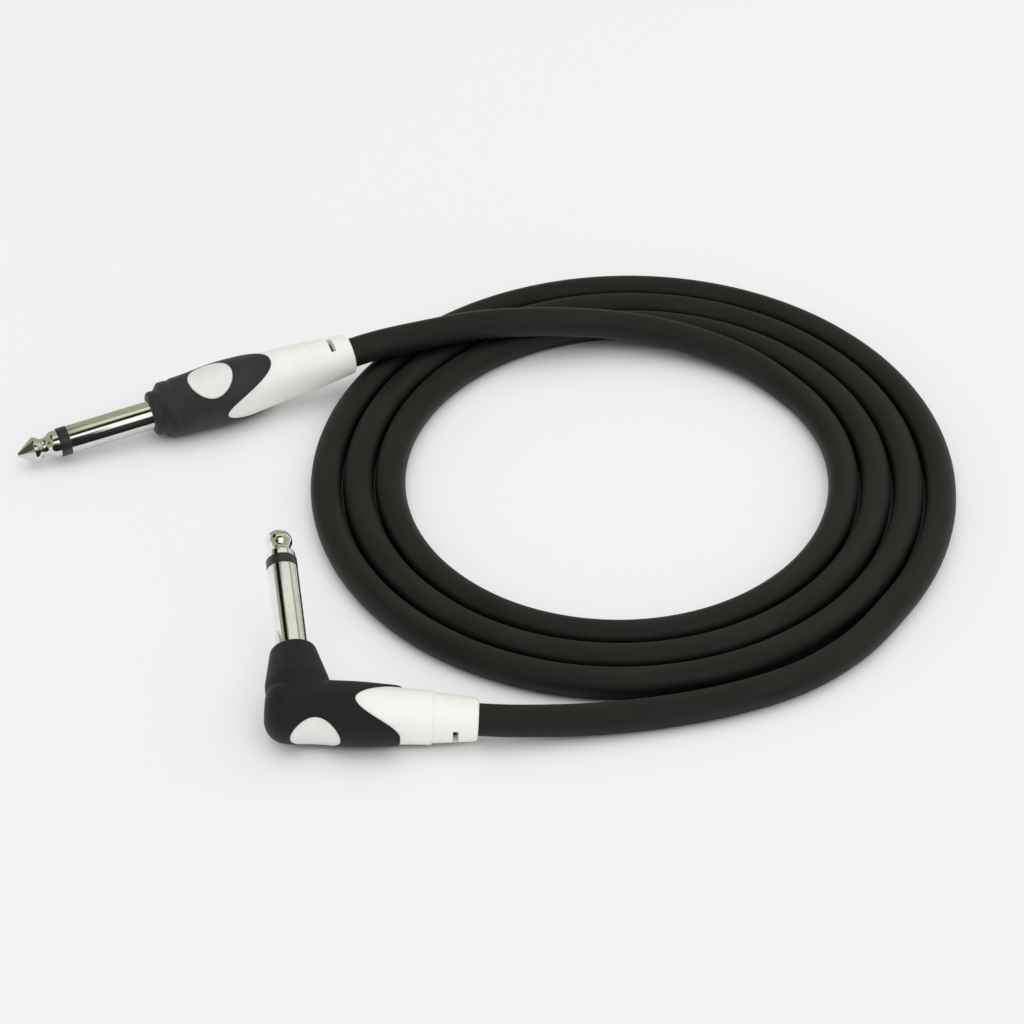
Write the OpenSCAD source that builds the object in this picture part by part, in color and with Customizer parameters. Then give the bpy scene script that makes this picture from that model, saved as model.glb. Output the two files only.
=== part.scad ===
// Instrument cable: one shielded lead with a straight and a right-angle quarter-inch
// plug, lying in a loose flat coil.  Millimetres.  Z = 0 is the surface it lies on.
//
// A straight plug is built along its own X axis, from the nose of the grip at X = 0 to
// the cable mouth.  The right-angle plug is built along the X axis of its body, from
// the crossing of the finger and body axes to the mouth.  Local +Z is the badge side.
// Finger pieces are built once, with the nose of the grip at X = 0 and the tip on -X.

/* [Cable] */
// Outside diameter of the jacket
cable_d = 6.5; // [6:0.1:6.5]
// Diameter of the insulated core inside the screen
core_d = 2.6; // [2:0.1:3]
// Diameter of the stranded inner conductor
conductor_d = 0.9; // [0.6:0.1:1.2]
// Diameter of the screen's twisted pigtail
pigtail_d = 1.2; // [0.8:0.1:1.5]
// Mean radius at which the coil starts on the inside
coil_r = 46.2; // [46:0.1:46.6]
// How far the turns depart from round
coil_oval = 1.4; // [1:0.1:1.6]
// Spacing from one turn to the next
turn_pitch = 6.88; // [6.88:0.02:7.2]

/* [Plug finger] */
// Finger diameter, the quarter-inch standard
finger_d = 6.35; // [6.25:0.01:6.4]
// Exposed length of the straight plug's finger
straight_reach = 30.2; // [28:0.1:32]
// Exposed length of the right-angle plug's finger
angle_reach = 28.6; // [27.4:0.1:30.6]
// Length of the straight plug's tip contact, from its point to the insulator
straight_tip_len = 9.2; // [8.8:0.1:10]
// Length of the right-angle plug's ball-ended tip contact
angle_tip_len = 7.2; // [7:0.1:8.4]
// Widest diameter of the tip's head
tip_head_d = 5.9; // [5.4:0.05:6.1]
// Diameter of the waist that the jack's spring drops into
tip_neck_d = 4.1; // [3.4:0.1:4.6]
// Diameter of the straight plug's blunt point
tip_point_d = 0.8; // [0.4:0.1:1.4]
// Diameter of the ball that ends the right-angle plug's tip
tip_ball_d = 5.5; // [5.3:0.05:5.8]
// Length of the insulating ring between tip and sleeve
ring_len = 2.2; // [1.6:0.1:2.8]
// Diameter of the rod that carries the tip contact through the sleeve
rod_d = 2.4; // [2:0.1:2.6]
// Diameter of the rod's riveted end
rivet_d = 3.2; // [3:0.1:3.6]
// Diameter of the sleeve's shank inside the nose
shank_d = 5.8; // [5.7:0.05:6]
// Wall of the sleeve contact
sleeve_wall = 0.9; // [0.7:0.05:1]
// Diameter of the flange that anchors the sleeve in the mould
flange_d = 8.4; // [8.2:0.1:8.6]
// Thickness of the flange
flange_t = 1.2; // [1:0.1:1.4]
// Thickness of the rear insulating washer
washer_t = 1.2; // [1:0.1:1.4]
// Thickness of the two solder tags
tag_t = 0.4; // [0.3:0.05:0.5]
// Length of the crimp round the jacket
crimp_len = 3.6; // [3:0.2:4.2]

/* [Straight plug] */
// Length of the moulded body, nose to mouth
straight_len = 46.5; // [45:0.5:48]
// Diameter of the beaded lip at the nose
straight_lip_d = 10; // [9.6:0.1:10.6]
// Diameter of the shoulder behind the lip
straight_shoulder_d = 12.5; // [12:0.1:12.8]
// Length of the lip, up to the valley before the shoulder
straight_lip = 1.9; // [1.7:0.1:2.1]
// Length of the slope from valley to shoulder
straight_slope = 1.7; // [1.4:0.1:1.9]
// Where the groove behind the shoulder is, from the nose
straight_groove = 5.4; // [5.2:0.1:5.8]
// Where the belly is widest, from the nose
straight_belly = 17.5; // [16.5:0.1:19]
// Grip diameter at the belly
straight_grip_d = 13.84; // [13.4:0.02:14.4]
// Diameter of the rear end of the white shell
straight_seam_d = 11; // [10.8:0.1:11.4]
// Diameter of the collar at the cable mouth
straight_mouth_d = 9; // [8.6:0.1:9.4]
// Length of the collar behind the shell
straight_collar = 9.7; // [9:0.1:11]
// Length of the plain cone at the rear of the shell
straight_cone = 4; // [3:0.1:5]
// Where the white lobes end, from the nose
straight_lobe = 15.6; // [14:0.2:17]
// Where the black lobes end, from the nose
straight_lap = 28.2; // [26:0.1:30]
// Centre of the badge, from the nose
straight_badge = 14.1; // [13:0.1:15]
// How far the black grip stands proud of the white shell
straight_proud = 0.25; // [0.1:0.05:0.4]
// Depth of the flange behind the nose
straight_seat = 3.6; // [3.2:0.1:4]

/* [Right-angle plug] */
// Length from the finger's axis to the cable mouth
angle_len = 35; // [34:0.5:37]
// Grip diameter
angle_grip_d = 13; // [12.6:0.1:13.6]
// Radius of the edge round the closed end of the elbow
angle_round = 4.5; // [3.5:0.1:5.5]
// Where the grip starts to narrow, from the finger's axis
angle_flat = 9; // [8:0.5:10]
// Diameter of the rear end of the white shell
angle_seam_d = 10.8; // [10.6:0.1:11.2]
// Diameter of the collar at the cable mouth
angle_mouth_d = 8.8; // [8.4:0.1:9.2]
// Length of the collar behind the shell
angle_collar = 9; // [8:0.1:10]
// Where the white lobes end, from the finger's axis
angle_lobe = 10.7; // [10:0.1:12]
// Where the black lobes end, from the finger's axis
angle_lap = 19.8; // [18:0.2:20]
// Centre of the badge, from the finger's axis
angle_badge = 3.2; // [2.6:0.1:4]
// How far the black grip stands proud of the white shell
angle_proud = 0.4; // [0.2:0.05:0.5]
// Reach of the boot from the body's axis
boot_reach = 14.6; // [14.4:0.1:15.4]
// Boot diameter at its mouth
boot_d = 9; // [8.8:0.1:9.8]
// Boot diameter where it runs into the body
boot_base_d = 12.9; // [12.4:0.1:12.9]
// Rounding of the boot's mouth
boot_lip = 1.2; // [1:0.1:1.3]
// Distance from the body's axis at which the boot reaches its full diameter
boot_full = 6.4; // [5:0.1:6.8]
// Distance from the finger's axis to the closed end of the elbow
elbow_end = 7.1; // [7:0.1:7.6]
// Angle between body and finger
elbow_angle = 99.5; // [97:0.5:100]
// Depth of the flange behind the boot's mouth
angle_seat = 6.4; // [6:0.1:6.8]

/* [Moulding] */
// Diameter of the inner mould that the outer skins are moulded over
core_mould_d = 9.3; // [9.1:0.05:9.5]
// Badge diameter
badge_d = 10; // [9.4:0.1:10.2]
// Badge thickness
badge_t = 1.2; // [0.8:0.1:1.4]
// How far the badge lies below the grip's surface
badge_sink = 0.1; // [0:0.05:0.2]
// Length of the window over the jacket, along the collar
window_len = 1.1; // [0.9:0.1:1.4]
// Width of the window, across the collar
window_w = 3.8; // [3:0.1:4]
// Distance from the window to the cable mouth
window_at = 4.4; // [4:0.1:5]

/* [Resting place] */
// Direction of the straight plug, from nose to mouth
straight_heading = 22; // [21:0.5:23]
// Rise of the straight plug towards its mouth
straight_rise = 4.3; // [4:0.1:5]
// Roll of the straight plug about its axis
straight_roll = 10; // [0:1:20]
// Direction of the right-angle plug's body
angle_heading = -0.5; // [-2:0.5:1]
// Fall of the right-angle plug's body towards its mouth
angle_fall = 3; // [2.5:0.1:3.5]
// Angle of the right-angle plug's finger above level
finger_raise = 15; // [10:1:20]

/* [Hidden] */
$fn = 64;
black = [0.15, 0.15, 0.16];
white = [0.93, 0.93, 0.9];
nickel = [0.78, 0.77, 0.74];
brass = [0.8, 0.68, 0.38];
copper = [0.78, 0.48, 0.3];
nylon = [0.2, 0.2, 0.21];

// Extra length of a cutting shape past the face it cuts
over = 1;

// ------------------------------------------------------------ turned profiles

// Profile points are [radius, distance along X].  A swell is a smooth change of radius
// between two stations, without its first point.
function ease(t) = (1 - cos(180 * t)) / 2;
function swell(x0, r0, x1, r1, n) =
    [for (i = [1:n]) [r0 + (r1 - r0) * ease(i / n), x0 + (x1 - x0) * i / n]];
function grown(profile, up) = [for (p = profile) [p[0] + up, p[1]]];

module lathe(profile) {
    first = profile[0];
    last = profile[len(profile) - 1];
    rotate([0, 90, 0]) rotate_extrude() polygon(concat([[0, first[1]]], profile, [[0, last[1]]]));
}

module bar(d, from, to) translate([from, 0, 0]) rotate([0, 90, 0]) cylinder(d = d, h = to - from);

// ------------------------------------------------------------ outside of the skins

bead = 0.9;
valley = 0.15;
groove = 0.3;
groove_half = 0.5;
groove_rise = 0.12;
straight_seam = straight_len - straight_collar;
straight_waist = straight_seam - straight_cone;
straight_tail = concat([[straight_grip_d / 2, straight_belly]],
    swell(straight_belly, straight_grip_d / 2, straight_waist,
          straight_seam_d / 2 + straight_proud + 0.22, 8));
straight_skin = concat(
    [for (a = [0:30:90]) [straight_lip_d / 2 - bead * (1 - sin(a)), bead * (1 - cos(a))]],
    [[straight_lip_d / 2 - valley, straight_lip]],
    swell(straight_lip, straight_lip_d / 2 - valley, straight_lip + straight_slope,
          straight_shoulder_d / 2, 5),
    [[straight_shoulder_d / 2, straight_groove - groove_half],
     [straight_shoulder_d / 2 + groove_rise - groove, straight_groove],
     [straight_shoulder_d / 2 + groove_rise, straight_groove + groove_half]],
    swell(straight_groove + groove_half, straight_shoulder_d / 2 + groove_rise, straight_belly,
          straight_grip_d / 2, 6),
    straight_tail);

angle_seam = angle_len - angle_collar;
angle_tail = concat([[angle_grip_d / 2, angle_flat]],
    swell(angle_flat, angle_grip_d / 2, angle_seam, angle_seam_d / 2 + angle_proud, 8));
angle_skin = concat(
    [for (a = [0:15:90])
        [angle_grip_d / 2 - angle_round * (1 - sin(a)), -elbow_end + angle_round * (1 - cos(a))]],
    angle_tail);

// Boot round the root of the right-angle plug's finger
boot_skin = concat(
    [for (a = [0:22.5:90]) [boot_d / 2 - boot_lip * (1 - sin(a)), boot_lip * (1 - cos(a))]],
    [[boot_base_d / 2, boot_reach - boot_full], [boot_base_d / 2, boot_reach]]);

// ------------------------------------------------------------ where the plugs lie

function along(heading, rise) =
    [cos(rise) * cos(heading), cos(rise) * sin(heading), sin(rise)];
straight_way = along(straight_heading, straight_rise);
angle_way = along(angle_heading, -angle_fall);

// Height of a round body's origin when it rises along X and touches the surface
function rest_z(profile, rise) = max([for (p = profile) p[0] * cos(rise) - p[1] * sin(rise)]);

straight_mouth = [22.1, 57.8, rest_z(straight_skin, straight_rise) + straight_len * sin(straight_rise)];
angle_mouth = [51.2, -55.4, rest_z(angle_skin, -angle_fall) - angle_len * sin(angle_fall)];

// Middle of the two plugs, which is the origin of the finished part
middle = [1.22, -0.01, 0];

module at_straight() translate(straight_mouth - middle)
    rotate([straight_roll, -straight_rise, straight_heading])
    translate([-straight_len, 0, 0]) children();

module at_angle() translate(angle_mouth - middle)
    rotate([90 + finger_raise, angle_fall, angle_heading])
    translate([-angle_len, 0, 0]) children();

// The right-angle plug's finger, in the frame of the plug's body
module on_elbow() rotate([0, elbow_angle, 0]) rotate([0, 0, 180])
    translate([-boot_reach, 0, 0]) children();

// ------------------------------------------------------------ finger pieces

tip_shoulder_d = finger_d - 0.35;
tube_d = finger_d - 2 * sleeve_wall;
washer_d = cable_d - 0.3;
rivet_t = 0.7;
tag_clear = 0.25;

// Stations behind the nose, for a flange at a given depth
function washer_x(seat) = seat + flange_t + tag_t;
function tag_x(seat) = washer_x(seat) + washer_t;
function rivet_x(seat) = tag_x(seat) + tag_t;
function rod_end_x(seat) = rivet_x(seat) + rivet_t;
function knee_x(seat) = rod_end_x(seat) + tag_clear;

// The front of a tip, up to its widest point: a cone, or a ball
cone_end = 3.4;
cone_head = concat([[tip_point_d / 2, 0], [tip_head_d / 2 - 0.2, cone_end]],
    swell(cone_end, tip_head_d / 2 - 0.2, cone_end + 0.5, tip_head_d / 2, 4));
ball_head = [for (a = [10:10:90]) tip_ball_d / 2 * [sin(a), 1 - cos(a)]];

// The tip, its rod and the riveted end are one turned piece.  The neck lies between the
// head and the shoulder, which ends just before the insulator.
neck_run = 2;
shoulder_back = 1.2;
module tip_shape(head, tip_len, reach, seat) {
    widest = head[len(head) - 1];
    neck_at = widest[1] + neck_run;
    waist = swell(widest[1], widest[0], neck_at, tip_neck_d / 2, 8);
    flare = swell(neck_at, tip_neck_d / 2, tip_len - shoulder_back, tip_shoulder_d / 2, 8);
    back = [[tip_shoulder_d / 2, tip_len], [rod_d / 2, tip_len],
            [rod_d / 2, reach + rivet_x(seat)], [rivet_d / 2, reach + rivet_x(seat)],
            [rivet_d / 2, reach + rod_end_x(seat)]];
    translate([-reach, 0, 0]) lathe(concat(head, waist, flare, back));
}

// Where the insulator starts on each finger
straight_ring = straight_tip_len - straight_reach;
angle_ring = angle_tip_len - angle_reach;

module ring_shape(ring) difference() {
    bar(finger_d, ring, ring + ring_len);
    bar(rod_d, ring - over, ring + ring_len + over);
}

module tube_shape(ring, seat) difference() {
    bar(tube_d, ring + ring_len, washer_x(seat));
    bar(rod_d, ring + ring_len - over, washer_x(seat) + over);
}

module sleeve_shape(ring, seat) difference() {
    union() {
        bar(finger_d, ring + ring_len, 0);
        bar(shank_d, -over, seat + flange_t);
        bar(flange_d, seat, seat + flange_t);
    }
    bar(tube_d, ring + ring_len - over, seat + flange_t + over);
}

module washer_shape(seat) difference() {
    bar(washer_d, washer_x(seat), tag_x(seat));
    bar(rod_d, washer_x(seat) - over, tag_x(seat) + over);
}

// Tip tag: a ring under the rivet, with a tongue that steps in beside the conductor
tag_ring_d = 5.6;
tongue_w = 2.4;
tongue_len = 7;
tongue_out = 2;
tongue_in = conductor_d / 2;

module tongue_piece(from, to, low, high)
    translate([from, -tongue_w / 2, low]) cube([to - from, tongue_w, high - low]);

module tip_tag_shape(seat) difference() {
    union() {
        bar(tag_ring_d, tag_x(seat), rivet_x(seat));
        tongue_piece(tag_x(seat), knee_x(seat) + tag_t, tongue_out, tongue_out + tag_t);
        tongue_piece(knee_x(seat), knee_x(seat) + tag_t, tongue_in, tongue_out + tag_t);
        tongue_piece(knee_x(seat), knee_x(seat) + tongue_len, tongue_in, tongue_in + tag_t);
    }
    bar(rod_d, tag_x(seat) - over, rivet_x(seat) + over);
}

// Sleeve tag: a ring between flange and washer, a strap, and ears round the jacket
strap_w = 3;
strap_top = -cable_d / 2 - 0.1;
ear_turn = 240;

module tag_ring(seat) difference() {
    bar(flange_d - 0.6, seat + flange_t, washer_x(seat));
    bar(tube_d, seat + flange_t - over, washer_x(seat) + over);
}

module strap(from, to) translate([from, -strap_w / 2, strap_top - tag_t]) cube([to - from, strap_w, tag_t]);

module crimp(from) translate([from, 0, 0]) rotate([0, 90, 0]) rotate([0, 0, -ear_turn / 2])
    rotate_extrude(angle = ear_turn)
        translate([cable_d / 2, 0]) square([tag_t, crimp_len]);

// ------------------------------------------------------------ moulded pieces

// The border between black grip and white shell, seen from the side: white runs
// forward in a round lobe along each flank, black runs back in a broad lobe above and
// below.  The change ends lobe_turn round the skin from the flank.
border_steps = 10;
lobe_turn = 78;
border_in = 0.4;

module black_side(lobe, lap, half, far) {
    edge = [for (i = [-border_steps:border_steps])
        [lobe + (lap - lobe) * ease(abs(i) / border_steps), half * sin(lobe_turn * i / border_steps)]];
    rotate([90, 0, 0]) linear_extrude(height = 2 * far, center = true)
        polygon(concat([[-far, -far], [lap, -far]], edge, [[lap, far], [-far, far]]));
}

// The pocket for a badge, down to its own depth under a skin
module badge_pocket(at, skin) difference() {
    translate([at, 0, 0]) cylinder(d = badge_d, h = skin[len(skin) - 1][1]);
    lathe(grown(skin, -badge_t));
}

// A collar with a spigot inside the shell and two windows with sloped rear walls
spigot_len = 3.8;
module collar_shape(seam, mouth, front_d, mouth_d) difference() {
    union() {
        bar(core_mould_d, seam - spigot_len, seam + over);
        lathe([[front_d / 2 - 0.2, seam], [front_d / 2, seam + 0.3], [mouth_d / 2, mouth - 1.1],
               [mouth_d / 2 - 0.14, mouth - 0.5], [mouth_d / 2 - 0.45, mouth]]);
    }
    bar(cable_d, seam - spigot_len - over, mouth + over);
    for (side = [0, 180]) rotate([side, 0, 0]) translate([mouth - window_at, 0, 0])
        rotate([90, 0, 0]) linear_extrude(height = window_w, center = true)
            polygon([[window_len, front_d / 2 + over], [-window_len / 2, front_d / 2 + over],
                     [-window_len / 2, 0], [window_len / 4, 0], [window_len / 4, cable_d / 2]]);
}

// The cable's end inside a plug: jacket, insulated core, conductor and pigtail
screen_depth = 3;
pigtail_len = 4;

module jacket_shape(jacket, mouth) difference() {
    bar(cable_d, jacket, mouth);
    bar(core_d, jacket - over, jacket + screen_depth);
}

module wire_shape(jacket, bare, tip) {
    bar(core_d, bare, jacket + screen_depth);
    bar(conductor_d, tip, bare);
}

module pigtail_shape(jacket)
    translate([0, 0, strap_top + pigtail_d / 2]) bar(pigtail_d, jacket - pigtail_len, jacket);

// Room inside the inner mould for the bared end, with the solder round the conductor
// and under the pigtail
module wire_room(jacket, bare, tip) {
    bar(core_d, bare, jacket);
    translate([tip, -conductor_d / 2, -conductor_d / 2])
        cube([bare - tip, conductor_d, conductor_d + tag_t / 2]);
    translate([jacket - pigtail_len, -pigtail_d / 2, strap_top - tag_t / 2])
        cube([pigtail_len, pigtail_d, pigtail_d + tag_t / 2]);
}

// Room for the flange, washer and rivet inside the inner mould
module stack_room(seat) {
    bar(shank_d, -over, seat);
    bar(flange_d, seat, seat + flange_t);
    bar(washer_d, seat, tag_x(seat));
    bar(rivet_d, seat, rod_end_x(seat));
}

// ------------------------------------------------------------ straight plug

straight_jacket = 18.5;
straight_bare = 14.5;
straight_half = straight_grip_d / 2 - border_in;
nose_wall = 2.4;

module straight_tip_contact() color(nickel) at_straight()
    tip_shape(cone_head, straight_tip_len, straight_reach, straight_seat);

module straight_tip_insulator() color(nylon) at_straight() ring_shape(straight_ring);

module straight_inner_tube() color(nylon) at_straight() tube_shape(straight_ring, straight_seat);

module straight_sleeve_contact() color(nickel) at_straight()
    sleeve_shape(straight_ring, straight_seat);

module straight_rear_washer() color(nylon) at_straight() washer_shape(straight_seat);

module straight_tip_tag() color(brass) at_straight() tip_tag_shape(straight_seat);

module straight_sleeve_tag_shape() {
    tag_ring(straight_seat);
    strap(straight_seat + flange_t, straight_jacket + crimp_len);
    crimp(straight_jacket);
}
module straight_sleeve_tag() color(brass) at_straight() straight_sleeve_tag_shape();

module straight_core_wire() color(white) at_straight()
    wire_shape(straight_jacket, straight_bare, knee_x(straight_seat) + tag_t);

module straight_screen_pigtail() color(copper) at_straight() pigtail_shape(straight_jacket);

module straight_jacket_end() color(black) at_straight()
    jacket_shape(straight_jacket, straight_len);

module straight_inner_mould() color(nylon) at_straight() difference() {
    bar(core_mould_d, nose_wall, straight_seam - spigot_len);
    stack_room(straight_seat);
    tip_tag_shape(straight_seat);
    straight_sleeve_tag_shape();
    wire_room(straight_jacket, straight_bare, knee_x(straight_seat) + tag_t);
    bar(cable_d, straight_jacket, straight_len);
}

module straight_grip() color(black) at_straight() difference() {
    intersection() {
        lathe(straight_skin);
        black_side(straight_lobe, straight_lap, straight_half, straight_len);
    }
    bar(shank_d, -over, straight_seat);
    bar(core_mould_d, nose_wall, straight_len);
    badge_pocket(straight_badge, straight_skin);
}

module straight_shell() color(white) at_straight() difference() {
    lathe(concat([[straight_grip_d / 2 - straight_proud, straight_lobe - over]],
                 grown(straight_tail, -straight_proud), [[straight_seam_d / 2, straight_seam]]));
    black_side(straight_lobe, straight_lap, straight_half, straight_len);
    bar(core_mould_d, 0, straight_len);
}

module straight_collar_mould() color(white) at_straight()
    collar_shape(straight_seam, straight_len, straight_seam_d - 0.3, straight_mouth_d);

module straight_badge() color(white) at_straight() intersection() {
    lathe(grown(straight_skin, -badge_sink));
    badge_pocket(straight_badge, straight_skin);
}

// ------------------------------------------------------------ right-angle plug

angle_jacket = 8.5;
angle_bare = 5;
angle_half = angle_grip_d / 2 - border_in;
angle_mould_end = -4.4;
upright_x = 2.45;

module angle_tip_contact() color(nickel) at_angle() on_elbow()
    tip_shape(ball_head, angle_tip_len, angle_reach, angle_seat);

module angle_tip_insulator() color(nylon) at_angle() on_elbow() ring_shape(angle_ring);

module angle_inner_tube() color(nylon) at_angle() on_elbow() tube_shape(angle_ring, angle_seat);

module angle_sleeve_contact() color(nickel) at_angle() on_elbow()
    sleeve_shape(angle_ring, angle_seat);

module angle_rear_washer() color(nylon) at_angle() on_elbow() washer_shape(angle_seat);

// The conductor passes through an eye in the tongue
module angle_tip_tag() color(brass) at_angle() difference() {
    on_elbow() tip_tag_shape(angle_seat);
    bar(conductor_d, -over, angle_bare);
}

// The strap first stands up from the leaning ring, then turns along the body
ring_out = washer_x(angle_seat) - tag_t - boot_reach;
foot = ring_out * sin(elbow_angle)
    + (upright_x + ring_out * cos(elbow_angle)) * cos(elbow_angle) / sin(elbow_angle);

module angle_sleeve_tag_shape() {
    on_elbow() tag_ring(angle_seat);
    translate([upright_x, -strap_w / 2, foot]) cube([tag_t, strap_w, strap_top - foot]);
    strap(upright_x, angle_jacket + crimp_len);
    crimp(angle_jacket);
}
module angle_sleeve_tag() color(brass) at_angle() angle_sleeve_tag_shape();

module angle_core_wire() color(white) at_angle()
    wire_shape(angle_jacket, angle_bare, tongue_in - tag_t);

module angle_screen_pigtail() color(copper) at_angle() pigtail_shape(angle_jacket);

module angle_jacket_end() color(black) at_angle() jacket_shape(angle_jacket, angle_len);

// Outside of the inner mould: a round bar along the body and one up the boot
module angle_core_bars(end) {
    bar(core_mould_d, angle_mould_end, end);
    on_elbow() bar(core_mould_d, angle_seat - 0.8, boot_reach);
}

module angle_inner_mould() color(nylon) at_angle() difference() {
    angle_core_bars(angle_seam - spigot_len);
    on_elbow() stack_room(angle_seat);
    on_elbow() tip_tag_shape(angle_seat);
    angle_sleeve_tag_shape();
    wire_room(angle_jacket, angle_bare, tongue_in - tag_t);
    bar(cable_d, angle_jacket, angle_len);
}

module angle_grip() color(black) at_angle() difference() {
    union() {
        intersection() {
            lathe(angle_skin);
            black_side(angle_lobe, angle_lap, angle_half, angle_len);
        }
        on_elbow() lathe(boot_skin);
    }
    on_elbow() bar(shank_d, -over, angle_seat);
    angle_core_bars(angle_len);
    badge_pocket(angle_badge, angle_skin);
}

module angle_shell() color(white) at_angle() difference() {
    lathe(grown(angle_tail, -angle_proud));
    black_side(angle_lobe, angle_lap, angle_half, angle_len);
    bar(core_mould_d, 0, angle_len);
}

module angle_collar_mould() color(white) at_angle()
    collar_shape(angle_seam, angle_len, angle_seam_d - 0.7, angle_mouth_d);

module angle_badge() color(white) at_angle() intersection() {
    lathe(grown(angle_skin, -badge_sink));
    badge_pocket(angle_badge, angle_skin);
}

// ------------------------------------------------------------ the cable's route

// Three and a quarter turns, each outside the one before.  The turn angle falls from
// the inside outwards, so the coil runs clockwise; near turns lie a little wider apart.
coil_x = 82;
coil_y = 22.5;
oval_way = 72;
near_slack = 0.2;
turn_step = 18;
first_turn = 36;
last_turn = -1116;
function coil_radius(a) = coil_r + coil_oval * cos(2 * (a - oval_way))
    + (turn_pitch - near_slack * sin(a)) * (90 - a) / 360;
function coil_point(a) =
    [coil_x + coil_radius(a) * cos(a), coil_y + coil_radius(a) * sin(a), cable_d / 2];

// Straight stretch of cable out of each mouth
straight_lead = 6.5;
angle_lead = 6;

// From the straight plug over the outer strands and down to the inner turn
over_points = [[39, 64.2, 9.95], [49.5, 67.4, 9.95], [60, 68.7, 9.9], [70.5, 70.2, 8.8],
               [82, 71, 7.2], [96.9, 68.4, 5.5], [110.3, 61.3, 4.3]];
// From the outer turn along the surface to the right-angle plug
out_points = [[127.8, -31, 3.25], [116, -40.8, 3.25], [102, -47.2, 3.25],
              [87, -51.2, 3.25], [72, -53.8, 3.8]];

route = concat(
    [straight_mouth, straight_mouth + straight_lead * straight_way],
    over_points,
    [for (a = [first_turn:-turn_step:last_turn]) coil_point(a)],
    out_points,
    [angle_mouth + angle_lead * angle_way, angle_mouth]);

// Sweep of a many-sided section along a list of points
sides = 12;
function unit(v) = v / norm(v);
function way(p, i) = i == 0 ? unit(p[1] - p[0])
    : i == len(p) - 1 ? unit(p[i] - p[i - 1])
    : unit(unit(p[i + 1] - p[i]) + unit(p[i] - p[i - 1]));
function section(p, i, r) =
    let (t = way(p, i), across = unit(cross(t, [0, 0, 1])), up = cross(across, t))
    [for (k = [0:sides - 1])
        let (a = 360 * k / sides - 90) p[i] + r * (cos(a) * across + sin(a) * up)];

module sweep(p, r) {
    n = len(p);
    points = [for (i = [0:n - 1]) each section(p, i, r)];
    walls = [for (i = [0:n - 2], k = [0:sides - 1])
        let (a = i * sides + k, b = i * sides + (k + 1) % sides)
        each [[a, b, b + sides], [a, b + sides, a + sides]]];
    start = [[for (k = [0:sides - 1]) sides - 1 - k]];
    end = [[for (k = [0:sides - 1]) (n - 1) * sides + k]];
    polyhedron(points, concat(walls, start, end));
}

module cable() color(black) translate(-middle) sweep(route, cable_d / 2);

straight_tip_contact();
straight_tip_insulator();
straight_inner_tube();
straight_sleeve_contact();
straight_rear_washer();
straight_tip_tag();
straight_sleeve_tag();
straight_inner_mould();
straight_grip();
straight_shell();
straight_collar_mould();
straight_badge();
straight_core_wire();
straight_screen_pigtail();
straight_jacket_end();
angle_tip_contact();
angle_tip_insulator();
angle_inner_tube();
angle_sleeve_contact();
angle_rear_washer();
angle_tip_tag();
angle_sleeve_tag();
angle_inner_mould();
angle_grip();
angle_shell();
angle_collar_mould();
angle_badge();
angle_core_wire();
angle_screen_pigtail();
angle_jacket_end();
cable();
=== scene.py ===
"""Looks of a coiled instrument cable with one straight and one right-angle plug.

Lengths of the plugs and of the cable are in millimetres.  Those of the finishes and of the
studio are in metres, apart from the camera's lens and film.  Every mesh is made in metres,
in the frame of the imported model.  A plug is built along its own X axis, with the badge on
+Z, and is then carried to where it lies.
"""

from __future__ import annotations

import logging
import math
from abc import ABC, abstractmethod
from dataclasses import dataclass, field
from enum import Enum
from typing import Mapping, Sequence, Union

import bmesh
import bpy
from mathutils import Matrix, Vector


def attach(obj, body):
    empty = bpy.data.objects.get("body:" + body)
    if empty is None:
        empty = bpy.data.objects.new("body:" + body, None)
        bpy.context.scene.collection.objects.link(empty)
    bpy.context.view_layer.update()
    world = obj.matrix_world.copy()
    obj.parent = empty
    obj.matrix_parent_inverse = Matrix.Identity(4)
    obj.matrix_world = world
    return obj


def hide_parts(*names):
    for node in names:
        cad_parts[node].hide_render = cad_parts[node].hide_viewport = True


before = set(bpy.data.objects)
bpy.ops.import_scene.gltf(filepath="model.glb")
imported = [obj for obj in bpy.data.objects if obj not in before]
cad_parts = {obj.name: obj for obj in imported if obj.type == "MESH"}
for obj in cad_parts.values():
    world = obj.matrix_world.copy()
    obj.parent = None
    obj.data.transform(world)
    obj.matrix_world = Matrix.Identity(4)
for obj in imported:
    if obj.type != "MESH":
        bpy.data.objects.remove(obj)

LOG = logging.getLogger("instrument_cable")
MM = 0.001
BODY = "root"
MERGE_GAP = 0.0005
ARC_STEPS = 4
SHARP_ANGLE = math.radians(38)
Point = tuple[float, float]
Triple = tuple[float, float, float]
Column = list[Vector]
Inputs = Mapping[Union[str, int], object]


class Slot(Enum):
    """The record's material slots that the pieces take their finish from."""

    PLUG_METAL = "plug_metal"
    INSULATOR = "insulator"
    TAG_BRASS = "tag_brass"
    MOULD_BLACK = "mould_black"
    GRIP_BLACK = "grip_black"
    SHELL_WHITE = "shell_white"
    BADGE_WHITE = "badge_white"
    CORE_WHITE = "core_white"
    COPPER = "copper"
    JACKET = "jacket"


# ---------------------------------------------------------------------- shader maths


def add_node(
    tree: bpy.types.NodeTree, kind: str, settings: Mapping[str, object], inputs: Inputs
) -> bpy.types.Node:
    """Add a node, set its properties, and set or link its inputs.

    Args:
        tree: the tree it goes into.
        kind: the node's type name.
        settings: properties by name.
        inputs: values or sockets, by socket name or index.

    Returns:
        The node.
    """
    made = tree.nodes.new(kind)
    for name, value in settings.items():
        setattr(made, name, value)
    for key, value in inputs.items():
        if isinstance(value, bpy.types.NodeSocket):
            tree.links.new(value, made.inputs[key])
        else:
            made.inputs[key].default_value = value
    return made


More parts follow.
